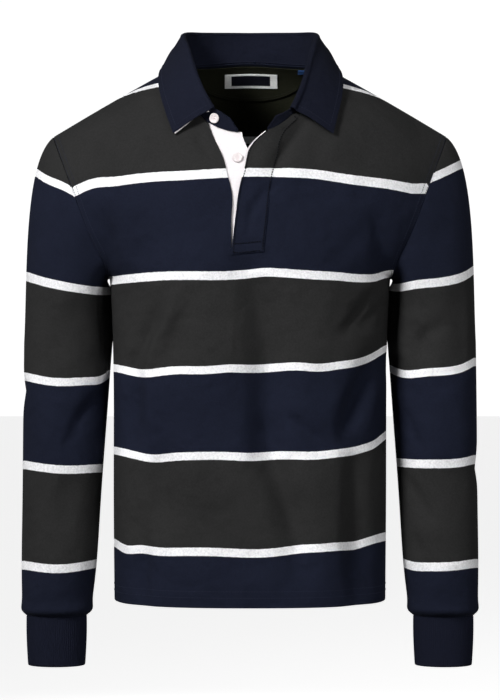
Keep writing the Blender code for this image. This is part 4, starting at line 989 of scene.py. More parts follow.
def sleeve_grid(side):
    """Points (row, turn) of the sleeve on +X, from the armhole down to the cuff seam."""
    turn = armhole_turns()
    start = curve(ARMHOLE, "turn", turn)
    below = ring(SLEEVE_SECTIONS, np.full_like(turn, SLEEVE_SECTIONS["z"][0]), turn)
    out, down, reach = (spline(CAP_START["turn"], CAP_START[key], turn) for key in ("out", "down", "reach"))
    leave = unit(np.stack([out, 0 * out, -down], -1)) * reach[:, None]
    depth = start[:, 2] - below[:, 2]
    arrive = np.stack([CAP_ARRIVAL[0] * depth, 0 * depth, -CAP_ARRIVAL[1] * depth], -1)
    rows = [hermite(start, leave, below, arrive, h) for h in finer(CAP_STEPS)]
    rows += [ring(SLEEVE_SECTIONS, np.full_like(turn, z), turn) for z in finer(SLEEVE_ROWS_Z)]
    grid = np.stack(rows)
    places = np.stack([np.broadcast_to(turn, grid.shape[:2]) * SLEEVE_ROUND, grid[..., 2]], -1)
    folds = []
    for width, depth, *line in SLEEVE_FOLDS[side]:
        folds.append((width, depth, *((a * SLEEVE_ROUND, z) for a, z in line)))
    press = trough(places, folds)
    press[0] = 0
    press[-1] = 0
    middle = grid.mean(1, keepdims=True) * np.array([1, 1, 0]) + grid * np.array([0, 0, 1])
    grid = grid - unit(grid - middle) * press[..., None]
    return pressed_to_side(grid, turn)


def pressed_to_side(grid, turn):
    """Moves the inner side of the sleeve against the body's side seam."""
    z = grid[..., 2]
    side_x = np.interp(z, SIDE_SEAM["z"], SIDE_SEAM["x"])
    height = np.interp(z, TOUCH_Z[::-1], (0.0, 1.0, 1.0, 0.0))
    beside = np.minimum(turn, 1 - turn)[None, :] / TOUCH_TURN
    share = height * np.exp(-(beside**2))
    moved = grid.copy()
    moved[..., 0] -= share * (grid[..., 0] - (side_x - TOUCH_PRESS))
    moved[0] = grid[0]
    return moved


def cuff_grid():
    """The ribbed cuff on +X, with one column more than ribs need so that it closes."""
    turn = np.linspace(0, 1, CUFF_RIBS * RIB_COLUMNS + 1)
    levels = finer(CUFF_ROWS_Z)
    grid = np.stack([ring(CUFF_SECTIONS, np.full_like(turn, z), turn) for z in levels])
    middle = ring(CUFF_SECTIONS, np.full_like(turn, CUFF_SEAM_Z), turn).mean(0)
    spoke = unit((grid - middle) * np.array([1, 1, 0]))
    fade = np.clip((grid[..., 2:] - CUFF_END_Z) / RIB_FADE, 0, 1)
    wave = np.cos(2 * math.pi * CUFF_RIBS * turn)[None, :, None]
    return grid + spoke * RIB_DEEP * (wave - 1) / 2 * fade


def mirrored(grid):
    return grid * np.array([-1.0, 1.0, 1.0])


# ---------------------------------------------------------------- collar


def neck_loop():
    """The neck seam and the body's normals along it, from the stand's left tip round the back."""
    end_t = t_at_x([STAND_LEFT_X], [NECK_FRONT_V])[0]
    tops = {side: t[-1, : NECK_COLUMNS[side] + 1] for side, (t, _) in HALVES.items()}
    lead = np.linspace(end_t, tops["left"][0], len(STAND_END["left"]))[:-1]
    round_back = np.concatenate([-tops["back"][::-1], tops["back"][1:]])
    stretches = (
        (FRONT, "left", np.concatenate([lead, tops["left"]])),
        (BACK, "back", round_back[1:-1]),
        (FRONT, "right", tops["right"][::-1]),
    )
    points = []
    normals = []
    for form, side, t in stretches:
        v = neck_level(t, side)
        points.append(form.body(t, v))
        normals.append(form.normals(t, v))
    return np.concatenate(points), np.concatenate(normals)


def collar_line(table, c):
    """A collar line at each c from -1, the leaf's left end, to 1; its ends lean to +X."""
    points = curve(table, "c", np.abs(c))
    points[:, 0] = points[:, 0] * np.sign(c) + COLLAR_LEAN * np.abs(c) ** 5
    return points


def collar_frames(seam):
    """The leaf's stretch of the seam, and for its columns the fold points and outward and up directions."""
    leaf = slice(len(STAND_END["left"]) - 1, len(seam) - len(STAND_END["right"]) + 1)
    centre = leaf.start + NECK_COLUMNS["left"] + NECK_COLUMNS["back"]
    lengths = along(seam)
    walked = lengths[leaf] - lengths[centre]
    c = np.where(walked < 0, walked / -walked[0], walked / walked[-1])
    fold = collar_line(COLLAR_FOLD, c)
    tangent = unit(np.gradient(fold, axis=0))
    rise = unit(fold - seam[leaf])
    outward = unit(np.cross(rise, tangent))
    up = unit(np.cross(tangent, outward))
    back = len(c) // 2
    outward = outward * np.sign(outward[back, 1])
    up = up * np.sign(up[back, 2])
    return leaf, c, fold, outward, up


def stand_grid(seam):
    leaf, _, fold, outward, up = collar_frames(seam)
    core = fold - up * COLLAR_ROLL
    top_inside = core - outward * COLLAR_ROLL
    top = np.zeros_like(seam)
    top[leaf] = top_inside + outward * TWILL - up * SEAM_GAP
    upright = np.array([0.0, 0.0, STAND_END_UPRIGHT])
    ends = (("left", 0, 1, leaf.start), ("right", len(seam) - 1, -1, leaf.stop - 1))
    for side, tip, step, joint in ends:
        way = unit(top[joint] - seam[joint]) + upright
        for k, height in enumerate(STAND_END[side][::-1][:-1]):
            at = tip + k * step
            top[at] = seam[at] + unit(way) * height
    steps = np.linspace(0, 1, 3 * FINE + 1)[:, None, None]
    return seam + (top - seam) * steps


def clear_of_body(points, least):
    """Moves points out to at least this height over the front and back."""
    t, v = np.meshgrid(np.linspace(-CLEAR_T, CLEAR_T, 161), np.linspace(CLEAR_V, 1.0, 91))
    places = []
    normals = []
    for form, side in ((FRONT, "right"), (BACK, "back")):
        kept = v <= neck_level(t, side) + 1e-6
        places.append(form.body(t[kept], v[kept]))
        normals.append(form.normals(t[kept], v[kept]))
    places = np.concatenate(places)
    normals = np.concatenate(normals)
    tree = KDTree(len(places))
    for i, place in enumerate(places):
        tree.insert(place, i)
    tree.balance()
    moved = points.reshape(-1, 3).copy()
    wanted = np.broadcast_to(least, points.shape[:-1]).reshape(-1)
    for _ in range(3):
        for k, point in enumerate(moved):
            place, i, _ = tree.find(point)
            away = point - np.array(place)
            height = away @ normals[i]
            beside = np.linalg.norm(away - normals[i] * height)
            if height < wanted[k] and beside < CLEAR_REACH:
                moved[k] = point + normals[i] * (wanted[k] - height)
    return moved.reshape(points.shape)


def leaf_grid(seam, seam_normals):
    """The leaf: over the top of the stand, down over the neck seam, and out on the body."""
    leaf, c, fold, outward, up = collar_frames(seam)
    core = fold - up * COLLAR_ROLL
    rows = []
    for angle in np.linspace(0, math.pi, ROLL_ROWS):
        rows.append(core - outward * COLLAR_ROLL * math.cos(angle) + up * COLLAR_ROLL * math.sin(angle))
    start = rows[-1]
    edge = clear_of_body(collar_line(LEAF_EDGE, c), LEAF_HEIGHT)
    foot = seam[leaf]
    away = unit(seam_normals[leaf] + outward)
    chord = edge - start
    share = ((foot - start) * chord).sum(1, keepdims=True) / size(chord) ** 2
    over = start + chord * np.clip(share, *LEAF_OVER)
    height = ((over - foot) * away).sum(1, keepdims=True)
    over = over + away * (np.maximum(LEAF_HEIGHT - height, 0) + LEAF_BOW)
    through = unit(unit(over - start) + unit(edge - over))
    drop = size(over - start)
    leave = unit(outward * LEAF_FLARE - up) * drop
    for h in np.linspace(0, 1, DROP_ROWS + 1)[1:]:
        rows.append(hermite(start, leave, over, through * drop, h))
    reach = size(edge - over)
    for h in np.linspace(0, 1, LIE_ROWS + 1)[1:]:
        rows.append(hermite(over, through * reach, edge, unit(edge - over) * reach, h))
    grid = np.stack(rows)
    lying = ROLL_ROWS + DROP_ROWS
    grid[lying:] = clear_of_body(grid[lying:], LEAF_HEIGHT)
    return grid


def butt(stand, leaf, seam):
    """Makes the stand and the leaf meet square along the top of the stand, with a fine seam."""
    span, _, _, outward, _ = collar_frames(seam)
    top = len(stand.points) - len(seam)
    meeting = (
        (stand, slice(top + span.start, top + span.stop), -outward),
        (leaf, slice(len(outward)), outward),
    )
    for sheet, points, inward in meeting:
        sheet.inward[points] = inward
        sheet.bevel[points] = FINE_BEVEL
        sheet.gap[points] = 0


def undercollar_grid(leaf):
    """Under the leaf, set in from its edges, but showing past its left front edge."""
    inward = -leaf.normals.reshape(leaf.grid.shape)
    under = leaf.grid + inward * (TWILL + SEAM_GAP)
    grid = under[ROLL_ROWS + 1 :].copy()
    grid[-1] += unit(grid[-2] - grid[-1]) * UNDERCOLLAR_INSET
    grid[:, -1] += unit(grid[:, -2] - grid[:, -1]) * UNDERCOLLAR_INSET
    walked = along(grid[:, 0])
    shows = np.interp(walked / walked[-1], UNDERCOLLAR_SHOWS["share"], UNDERCOLLAR_SHOWS["out"])
    grid[:, 0] -= unit(grid[:, 1] - grid[:, 0]) * shows[:, None]
    return grid


# ---------------------------------------------------------------- small pieces


def placket_over():
    """Strip that lies on the front along the right edge of the slit."""
    grids = (grid[BOX_ROW:, : PLACKET_COLUMNS + 1] for grid in HALVES["right"])
    t, v = grids
    points = FRONT.points(t, v)
    low, high = PLACKET_SINKS
    up = np.clip((points[..., 2] - low) / (high - low), 0, 1)
    near = np.clip((np.arange(points.shape[1]) / PLACKET_COLUMNS - 0.5) / 0.5, 0, 1)
    kept = 1 - (1 - PLACKET_THIN) * up * near
    raised = points + FRONT.normals(t, v) * (kept * (LAY_GAP + FACING))[..., None]
    sheet = Sheet("placket_over", raised, FACING)
    sheet.thick *= kept.reshape(-1)
    sheet.bevel *= kept.reshape(-1)
    return sheet


def placket_under_grid():
    """From under the left edge of the slit across to its free edge."""
    rows = panel_rows(ARM_ROWS_FRONT)
    levels = level(rows, NECK_FRONT_V)[BOX_ROW:]
    edge_x = slit_line(rows, "left")[0][BOX_ROW:]
    columns = []
    for share in np.linspace(0, 1, 6 * FINE + 1):
        x = edge_x - UNDER_LAP + share * (UNDER_LAP + PLACKET_WIDTH)
        t = t_at_x(x, levels)
        v = levels.copy()
        v[-1] = neck_level(t[-1], "left") + UNDER_TOP_RISE
        columns.append(FRONT.points(t, v) - FRONT.normals(t, v) * (JERSEY + UNDER_GAP))
    return np.stack(columns, 1)


def facing_edge_grid():
    """The white edge of the facing that shows to the left of the over placket."""
    rows = panel_rows(ARM_ROWS_FRONT)
    edge_x, edge_t = slit_line(rows, "right")
    levels = level(rows, neck_level(edge_t[-1], "right"))[SLIT_ROW:]
    edge_x = edge_x[SLIT_ROW:]
    height = (levels - levels[0]) / (levels[-1] - levels[0])
    shows = np.interp(height, FACING_SHOWS["share"], FACING_SHOWS["out"])
    columns = []
    for share in np.linspace(0, 1, 5):
        t = t_at_x(edge_x - shows + share * (shows + FACING_HIDES), levels)
        columns.append(FRONT.points(t, levels) - FRONT.normals(t, levels) * (JERSEY + FACING_BACK))
    return np.stack(columns, 1)


def behind(sheet, rows, columns, depth):
    """Points this deep behind the outer face of a sheet, on its own facets."""
    inward = sample(-sheet.normals.reshape(sheet.grid.shape), rows, columns)
    return sample(sheet.grid, rows, columns) + unit(inward) * depth


def rows_below_top(grid, columns, drop):
    """Fractional row numbers at these lengths below the last row, one column at a time."""
    found = np.zeros(drop.shape)
    for k in range(drop.shape[1]):
        numbers = np.arange(grid.shape[0], dtype=float)
        line = sample(grid, numbers, np.full(len(numbers), columns[k]))[::-1]
        found[:, k] = grid.shape[0] - 1 - np.interp(drop[:, k], along(line), numbers)
    return found


def neck_patch_grid(back):
    """Half-moon inside the back, hanging from the neck seam."""
    middle = SHOULDER_COLUMNS + NECK_COLUMNS["back"]
    reach = NECK_COLUMNS["back"] - PATCH_INSET * FINE
    columns = np.linspace(middle - reach, middle + reach, 2 * NECK_COLUMNS["back"] + 1)
    share = np.abs(columns - middle) / reach
    depth = PATCH_DROP * np.maximum(1 - share**2, PATCH_LEAST) ** PATCH_POWER
    drop = PATCH_TOP + np.linspace(1, 0, 5 * FINE)[:, None] * depth
    rows = rows_below_top(back.grid, columns, drop)
    columns = np.broadcast_to(columns, rows.shape)
    return behind(back, rows, columns, JERSEY + PATCH_GAP)


def neck_trim_grid(patch, sides, drops):
    """Flat strip on the half-moon: its x range, and its lengths below the half-moon's top."""
    top_x = patch.grid[-1, :, 0]
    x = np.linspace(sides[0], sides[1], 6 * FINE + 1)
    columns = np.interp(x, top_x[::-1], np.arange(len(top_x), dtype=float)[::-1])
    drop = np.linspace(drops[1], drops[0], 2 * FINE + 1)[:, None] + np.zeros((1, len(x)))
    rows = rows_below_top(patch.grid, columns, drop)
    columns = np.broadcast_to(columns, rows.shape)
    return behind(patch, rows, columns, FACING + LABEL_GAP)


def place_on(sheet, x, z):
    """The sheet's point nearest this x and z seen from the front, and the normal there."""
    middles = [sheet.points[face].mean(0) for face in sheet.faces]
    face = sheet.faces[int(np.argmin([math.hypot(m[0] - x, m[2] - z) for m in middles]))]
    corners = sheet.points[face]
    weight = 1 / (np.hypot(corners[:, 0] - x, corners[:, 2] - z) + 1e-4)
    weight = (weight / weight.sum())[:, None]
    normal = unit((sheet.normals[face] * weight).sum(0))
    flat = unit(np.cross(corners[2] - corners[0], corners[3] - corners[1]))
    middle = corners.mean(0)
    y = middle[1] - (flat[0] * (x - middle[0]) + flat[2] * (z - middle[2])) / flat[1]
    return np.array([x, y, z]), normal


def button(centre, normal):
    """A turned button with four holes: a fine grid round its axis, dimpled where the holes are."""
    side = unit(np.cross(normal, np.array([0.0, 0.0, 1.0])))
    other = np.cross(normal, side)
    shares = np.linspace(0, 1, BUTTON_RINGS + 1)
    angles = np.linspace(0, 2 * math.pi, BUTTON_SIDES, endpoint=False)
    profile = np.array(BUTTON_PROFILE[::-1])
    edge = along(profile * np.array([BUTTON_RADIUS, BUTTON_THICK]))
    walked = shares * edge[-1]
    radius = np.interp(walked, edge, profile[:, 0])[1:-1] * BUTTON_RADIUS
    height = np.interp(walked, edge, profile[:, 1])[1:-1] * BUTTON_THICK
    u = radius[:, None] * np.cos(angles)
    w = radius[:, None] * np.sin(angles)
    rise = np.broadcast_to(height[:, None], u.shape).copy()
    front = np.arange(len(radius))[:, None] < len(radius) * BUTTON_FACE
    for k in range(4):
        a = math.pi / 4 + k * math.pi / 2
        gap = np.hypot(u - HOLE_RING * math.cos(a), w - HOLE_RING * math.sin(a))
        rise -= np.where(front, HOLE_DEEP / (1 + (gap / HOLE_RADIUS) ** HOLE_STEEP), 0)
    flat = centre + u[..., None] * side + w[..., None] * other + rise[..., None] * normal
    rings, sides = u.shape
    top = centre + normal * profile[0, 1] * BUTTON_THICK
    bottom = centre + normal * profile[-1, 1] * BUTTON_THICK
    points = np.concatenate([[top], flat.reshape(-1, 3), [bottom]])
    faces = []
    for k in range(sides):
        n = (k + 1) % sides
        faces.append([0, 1 + n, 1 + k])
        for r in range(rings - 1):
            a = 1 + r * sides
            b = a + sides
            faces.append([a + k, a + n, b + n, b + k])
        last = 1 + (rings - 1) * sides
        faces.append([last + k, last + n, len(points) - 1])
    return points, [face[::-1] for face in faces]


# ---------------------------------------------------------------- sewing


def inset(grid, side, distance):
    """The line this far inside one edge of a grid."""
    turned = {
        "bottom": grid.transpose(1, 0, 2),
        "top": grid[::-1].transpose(1, 0, 2),
        "first": grid,
        "last": grid[:, ::-1],
    }[side]
    points = []
    for line in turned:
        lengths = along(line)
        points.append([np.interp(distance, lengths, line[:, axis]) for axis in range(3)])
    return np.array(points)


class Sewing:
    """Stitches through one sheet, all in one mesh: on its outer face or, through, on its inner one."""

    def __init__(self, sheet, radius=THREAD_RADIUS, through=0.0):
        self.sheet = sheet
        self.radius = radius
        self.through = through
        self.tree = KDTree(len(sheet.points))
        for i, place in enumerate(sheet.points):
            self.tree.insert(place, i)
        self.tree.balance()
        self.points = []
        self.faces = []

    def normals_along(self, path):
        """The sheet's normals at its points nearest a path."""
        normals = self.sheet.normals
        return unit(np.array([sum(normals[i] for _, i, _ in self.tree.find_n(p, 4)) for p in path]))

    def sew(self, path, start=0.0, end=0.0):
        """Stitches along a path, from this far after its start to this far before its end."""
        normals = self.normals_along(path)
        if self.through:
            path = path - normals * self.through
            normals = -normals
        lengths = along(path)
        pitch = STITCH + STITCH_GAP
        for k in range(int((lengths[-1] - end - start) / pitch)):
            first = start + k * pitch + STITCH_GAP / 2
            ends = []
            for at in (first, first + STITCH / 2, first + STITCH):
                place = np.array([np.interp(at, lengths, path[:, axis]) for axis in range(3)])
                up = unit(np.array([np.interp(at, lengths, normals[:, axis]) for axis in range(3)]))
                ends.append((place, up))
            self.stitch(*ends)

    def stitch(self, first, middle, last):
        """One stitch: it dips into the cloth at both ends."""
        across = unit(np.cross(middle[1], unit(last[0] - first[0])))
        base = len(self.points)
        for share, height, wide in STITCH_PROFILE:
            end, up = first if share < 0 else last
            if abs(share) < 1:
                up = middle[1]
            place = end * abs(share) + middle[0] * (1 - abs(share)) + up * self.radius * height
            for angle in STITCH_ANGLES:
                spoke = across * math.cos(angle) + up * math.sin(angle)
                self.points.append(place + spoke * self.radius * wide)
        sides = len(STITCH_ANGLES)
        for s in range(len(STITCH_PROFILE) - 1):
            for k in range(sides):
                n = (k + 1) % sides
                c = base + s * sides
                self.faces.append([c + k, c + n, c + sides + n, c + sides + k])
        self.faces.append([base + k for k in range(sides)][::-1])
        self.faces.append([base + (len(STITCH_PROFILE) - 1) * sides + k for k in range(sides)])


def sewn_panel(panel, *parts):
    """Hem and armhole stitches of a panel's parts: each a grid and its sides with an armhole."""
    sewing = Sewing(panel)
    for grid, *sides in parts:
        for distance in HEM_STITCHES:
            sewing.sew(inset(grid, "bottom", distance))
        for side in sides:
            for distance in ARMHOLE_STITCHES:
                sewing.sew(inset(grid, side, distance)[SIDE_ROWS * FINE :])
    return sewing


def sewn_back(back):
    sewing = sewn_panel(back, (back.grid, "first", "last"))
    shoulders = inset(back.grid, "top", ARMHOLE_STITCHES[0])
    sewing.sew(shoulders[: SHOULDER_COLUMNS + 1])
    sewing.sew(shoulders[-SHOULDER_COLUMNS - 1 :])
    return sewing


def sewn_sleeve(sleeve):
    sewing = Sewing(sleeve)
    sewing.sew(inset(sleeve.grid, "top", CUFF_STITCHES))
    return sewing


def sewn_collar(leaf):
    """Round the leaf's edges, as far as the fold."""
    sewing = Sewing(leaf)
    distance = COLLAR_STITCHES
    sewing.sew(inset(leaf.grid, "top", distance), distance, distance)
    for side in ("first", "last"):
        sewing.sew(inset(leaf.grid, side, distance)[ROLL_ROWS:], end=distance)
    return sewing


def sewn_stand(stand):
    """Inside, along the neck seam."""
    sewing = Sewing(stand, through=TWILL)
    sewing.sew(inset(stand.grid, "bottom", CUFF_STITCHES))
    return sewing


def sewn_placket(over):
    """Down both sides and round the box at its foot."""
    sewing = Sewing(over, PLACKET_THREAD_RADIUS)
    distance = PLACKET_STITCHES
    for side in ("first", "last"):
        sewing.sew(inset(over.grid, side, distance), distance)
    for height in (distance, BOX_HEIGHT):
        sewing.sew(inset(over.grid, "bottom", height), distance, distance)
    return sewing


def sewn_patch(patch):
    sewing = Sewing(patch, through=FACING)
    for distance in PATCH_STITCHES:
        sewing.sew(inset(patch.grid, "bottom", distance))
    return sewing


# ---------------------------------------------------------------- materials


def linear(red, green, blue):
    """Linear colour of an sRGB one from 0 to 255."""
    return tuple(((c / 255 + 0.055) / 1.055) ** 2.4 for c in (red, green, blue)) + (1.0,)


NAVY = linear(24, 28, 43)
TRIM_NAVY = linear(22, 25, 39)  # collar and cuffs
OLIVE = linear(42, 42, 42)
WHITE = linear(248, 248, 250)
# Inner face of the jersey. Its olive is painted darker and greener than the outer olive: painted shade of
# the garment's dim inside. Its navy is about the outer navy.
NAVY_INSIDE = linear(26, 30, 42)
OLIVE_INSIDE_PAINTED_SHADE = linear(34, 35, 25)
FACING_WHITE = linear(242, 237, 239)
LABEL_WHITE = linear(248, 250, 248)
LABEL_NAVY = linear(17, 18, 28)
TAB_BLUE = linear(58, 92, 150)
NAVY_THREAD = linear(35, 39, 55)
DARK_THREAD = linear(36, 37, 31)
GROOVE_SHADE_THREAD = linear(7, 8, 13)  # real stitches, painted near-black as painted shade of the placket's grooves
BUTTON_WHITE = linear(235, 228, 228)
BUTTON_SWIRL = linear(222, 212, 213)
FLOOR_PALE = (0.92, 0.92, 0.92, 1.0)
PURE_WHITE = (1.0, 1.0, 1.0, 1.0)
CREASE_SCALE = 13.0  # of the jersey's small soft creases, a metre
CREASE_DEEP = 0.016
PUCKER_SCALE = 60.0  # of the twill's uneven surface
PUCKER_DEEP = 0.0030
BROAD_SCALE = 9.0  # of the colour's unevenness over a piece
YARN_SCALE = 420.0  # and from yarn to yarn
CLOTH_SHEEN = 0.10
JERSEY_KNIT = (0.0010, 0.0008, 0.00010)  # wale, course and depth of its stitches
RIB_KNIT = (0.0011, 0.0009, 0.00012)
LOOP_LEAN = 2.2  # of the knit's loops, radians
LOOP_HEIGHT = 0.45  # beside the height of their columns, 1
FUZZ_SCALE = 1500.0  # of its loose fibres
FUZZ_HEIGHT = 0.9
TWILL_PITCH = 0.0011
TWILL_SLANT = 0.7
TWILL_DEEP = 0.00012
SLUB_SCALE = 1200.0  # of its uneven threads
SLUB_HEIGHT = 0.8
FACING_PITCH = 0.0008
FACING_DEEP = 0.00008
RIBBON_PITCH = 0.0006
RIBBON_DEEP = 0.00006
SATIN_PITCH = 0.0005
FINE_RELIEF = 0.00005  # of the label's satin and of the thread
RESIN_RELIEF = 0.00003
STRIPE_SOFT = 0.0015  # half width of a stripe's soft edge, in pitches
STRIPE_UNEVEN = 0.003  # how far it wanders, in pitches
STRIPE_UNEVEN_SCALE = 160.0
INLAY_SOFT = 0.0002


class Paint:
    """A node material while it is put together."""

    def __init__(self, name, roughness):
        self.material = bpy.data.materials.new(name)
        self.material.use_nodes = True
        self.tree = self.material.node_tree
        self.shader = self.tree.nodes["Principled BSDF"]
        self.shader.inputs["Roughness"].default_value = roughness
        self.shader.inputs["Specular IOR Level"].default_value = CLOTH_SHEEN
        self.relief = None

    def add(self, kind, inputs=(), **settings):
        node = self.tree.nodes.new("ShaderNode" + kind)
        for key, value in settings.items():
            setattr(node, key, value)
        for key, value in inputs:
            self.put(node.inputs[key], value)
        return node

    def put(self, socket, value):
        if isinstance(value, bpy.types.NodeSocket):
            self.tree.links.new(value, socket)
        else:
            socket.default_value = value

    def math(self, operation, *values):
        node = self.add("Math", operation=operation)
        for socket, value in zip(node.inputs, values):
            self.put(socket, value)
        return node.outputs[0]

    def cloth(self):
        """Lengths across and up the cloth."""
        place = self.add("UVMap", uv_map="cloth").outputs[0]
        parts = self.add("SeparateXYZ", [(0, place)])
        return parts.outputs[0], parts.outputs[1]

    def noise(self, scale, detail=2.0):
        place = self.add("TexCoord").outputs["Object"]
        return self.add("TexNoise", [("Vector", place), ("Scale", scale), ("Detail", detail)]).outputs[0]

    def ramp(self, value, low, high, to_low=0.0, to_high=1.0):
        pairs = [(0, value), (1, low), (2, high), (3, to_low), (4, to_high)]
        return self.add("MapRange", pairs).outputs[0]

    def mix(self, share, a, b, blend="MIX"):
        settings = dict(data_type="RGBA", blend_type=blend)
        return self.add("Mix", [(0, share), (6, a), (7, b)], **settings).outputs[2]

    def wave(self, length, pitch):
        """A sine of one cycle each pitch along a length."""
        return self.math("SINE", self.math("MULTIPLY_ADD", length, 2 * math.pi / pitch, 0.0))

    def bump(self, height, distance):
        """Relief of this height, on top of what was there before."""
        pairs = [("Height", height), ("Distance", distance)]
        if self.relief is not None:
            pairs.append(("Normal", self.relief))
        self.relief = self.add("Bump", pairs).outputs[0]
        self.put(self.shader.inputs["Normal"], self.relief)

    def colour(self, value, patchy=0.16):
        """The base colour, a little uneven over the cloth and from yarn to yarn."""
        broad = self.ramp(self.noise(BROAD_SCALE), 0.3, 0.7, 1 - patchy / 2, 1 + patchy / 2)
        yarn = self.ramp(self.noise(YARN_SCALE, 3.0), 0.25, 0.75, 1 - patchy, 1 + patchy)
        value = self.mix(1.0, value, self.math("MULTIPLY", broad, yarn), "MULTIPLY")
        self.put(self.shader.inputs["Base Color"], value)


def knit(paint, wale, course, distance):
    """Relief of plain knitted stitches: columns of loops that lean two ways."""
    u, v = paint.cloth()
    column = paint.wave(u, wale)
    lean = paint.math("MULTIPLY", paint.math("ABSOLUTE", paint.wave(u, 2 * wale)), LOOP_LEAN)
    loop = paint.math("SINE", paint.math("MULTIPLY_ADD", v, 2 * math.pi / course, lean))
    height = paint.math("MULTIPLY_ADD", loop, LOOP_HEIGHT, column)
    fuzz = paint.math("MULTIPLY", paint.noise(FUZZ_SCALE), FUZZ_HEIGHT)
    paint.bump(paint.math("ADD", height, fuzz), distance)


def weave(paint, pitch):
    """Height of a plain weave: threads both ways."""
    u, v = paint.cloth()
    return paint.math("MULTIPLY", paint.wave(u, pitch), paint.wave(v, pitch))


def jersey_material():
    paint = Paint("striped_jersey_knit", 0.92)
    number = paint.add("Attribute", attribute_name="stripe").outputs["Fac"]
    noise = paint.noise(STRIPE_UNEVEN_SCALE, 1.0)
    uneven = paint.math("MULTIPLY_ADD", noise, 2 * STRIPE_UNEVEN, -STRIPE_UNEVEN)
    number = paint.math("ADD", number, uneven)
    away = paint.math("ABSOLUTE", paint.math("SUBTRACT", number, paint.math("ROUND", number)))
    white = paint.ramp(away, STRIPE_HALF - STRIPE_SOFT, STRIPE_HALF + STRIPE_SOFT, 1.0, 0.0)
    band = paint.math("FLOORED_MODULO", paint.math("FLOOR", number), 2.0)
    inside = paint.add("Attribute", attribute_name="inside").outputs["Fac"]
    outer = paint.mix(band, OLIVE, NAVY)
    # the inner face's olive is painted shade of the garment's inside
    inner = paint.mix(band, OLIVE_INSIDE_PAINTED_SHADE, NAVY_INSIDE)
    paint.colour(paint.mix(white, paint.mix(inside, outer, inner), WHITE))
    paint.bump(paint.noise(CREASE_SCALE, 3.0), CREASE_DEEP)
    knit(paint, *JERSEY_KNIT)
    return paint.material


def plain_jersey_material():
    paint = Paint("olive_jersey_knit", 0.92)
    # the patch takes the inner olive, darkened as painted shade of the garment's inside
    paint.colour(OLIVE_INSIDE_PAINTED_SHADE)
    knit(paint, *JERSEY_KNIT)
    return paint.material


def twill_material():
    paint = Paint("navy_twill_weave", 0.85)
    u, v = paint.cloth()
    slant = paint.wave(paint.math("ADD", u, paint.math("MULTIPLY", v, TWILL_SLANT)), TWILL_PITCH)
    slub = paint.math("MULTIPLY", paint.noise(SLUB_SCALE), SLUB_HEIGHT)
    paint.colour(TRIM_NAVY)
    paint.bump(paint.noise(PUCKER_SCALE, 3.0), PUCKER_DEEP)
    paint.bump(paint.math("ADD", slant, slub), TWILL_DEEP)
    return paint.material


def rib_material():
    paint = Paint("navy_rib_knit", 0.92)
    paint.colour(TRIM_NAVY)
    knit(paint, *RIB_KNIT)
    return paint.material


def facing_material():
    paint = Paint("white_facing_weave", 0.8)
    paint.colour(FACING_WHITE, 0.04)
    paint.bump(paint.math("ADD", weave(paint, FACING_PITCH), paint.noise(900.0)), FACING_DEEP)
    return paint.material


def label_material():
    paint = Paint("label_satin", 0.5)
    u, v = paint.cloth()
    inlay = 1.0
    for length, low, high in ((u, *LABEL_INLAY["across"]), (v, *LABEL_INLAY["up"])):
        above = paint.ramp(length, low - INLAY_SOFT, low + INLAY_SOFT)
        below = paint.ramp(length, high - INLAY_SOFT, high + INLAY_SOFT, 1.0, 0.0)
        inlay = paint.math("MULTIPLY", inlay, paint.math("MULTIPLY", above, below))
    paint.colour(paint.mix(inlay, LABEL_WHITE, LABEL_NAVY), 0.05)
    paint.bump(paint.math("ADD", paint.wave(v, SATIN_PITCH), paint.noise(800.0)), FINE_RELIEF)
    return paint.material


def tab_material():
    paint = Paint("tab_ribbon", 0.6)
    paint.colour(TAB_BLUE, 0.06)
    paint.bump(weave(paint, RIBBON_PITCH), RIBBON_DEEP)
    return paint.material


def thread_material(name, colour):
    paint = Paint(name, 0.6)
    paint.colour(colour, 0.08)
    paint.bump(paint.noise(3000.0), FINE_RELIEF)
    return paint.material


def button_material():
    paint = Paint("button_resin", 0.28)
    swirl = paint.ramp(paint.noise(260.0, 3.0), 0.35, 0.65)
    paint.put(paint.shader.inputs["Base Color"], paint.mix(swirl, BUTTON_WHITE, BUTTON_SWIRL))
    paint.put(paint.shader.inputs["Coat Weight"], 0.3)
    paint.bump(paint.noise(400.0), RESIN_RELIEF)
    return paint.material


# ---------------------------------------------------------------- cloths

# Each sheet's slot, and what shows of its cut: width and length, the area where it isn't a
# rectangle, and how it is held.
CLOTHS = {
    "front": ("striped_jersey", (0.600, 0.770), 0.338, "hung"),
    "back": ("striped_jersey", (0.600, 0.780), 0.350, "hung"),
    "sleeve_left": ("striped_jersey", (0.560, 0.635), 0.184, "hung"),
    "cuff_left": ("navy_rib", (0.240, 0.065), None, "hung"),
    "sleeve_right": ("striped_jersey", (0.560, 0.635), 0.184, "hung"),
    "cuff_right": ("navy_rib", (0.240, 0.065), None, "hung"),
    "placket_over": ("striped_jersey", (0.049, 0.194), 0.0065, "laid"),
    "collar_stand": ("navy_twill", (0.676, 0.040), 0.0191, "folded"),
    "collar": ("navy_twill", (0.676, 0.083), 0.0424, "folded"),
    "undercollar": ("white_facing", (0.664, 0.064), 0.0323, "folded"),
    "placket_under": ("white_facing", (0.061, 0.190), 0.0086, "laid"),
    "facing_edge": ("white_facing", (0.013, 0.163), 0.0017, "laid"),
    "neck_patch": ("olive_jersey", (0.256, 0.053), 0.0076, "laid"),
    "neck_label": ("label_cloth", (0.071, 0.022), None, "laid"),
    "size_tab": ("blue_tab", (0.012, 0.010), None, "laid"),
}
MATERIALS = {
    "striped_jersey": jersey_material,
    "olive_jersey": plain_jersey_material,
    "navy_twill": twill_material,
    "navy_rib": rib_material,
    "white_facing": facing_material,
    "label_cloth": label_material,
    "blue_tab": tab_material,
}
NOT_IN_SOLIDS = ("facing_edge",)  # shows in this model only


# ---------------------------------------------------------------- objects


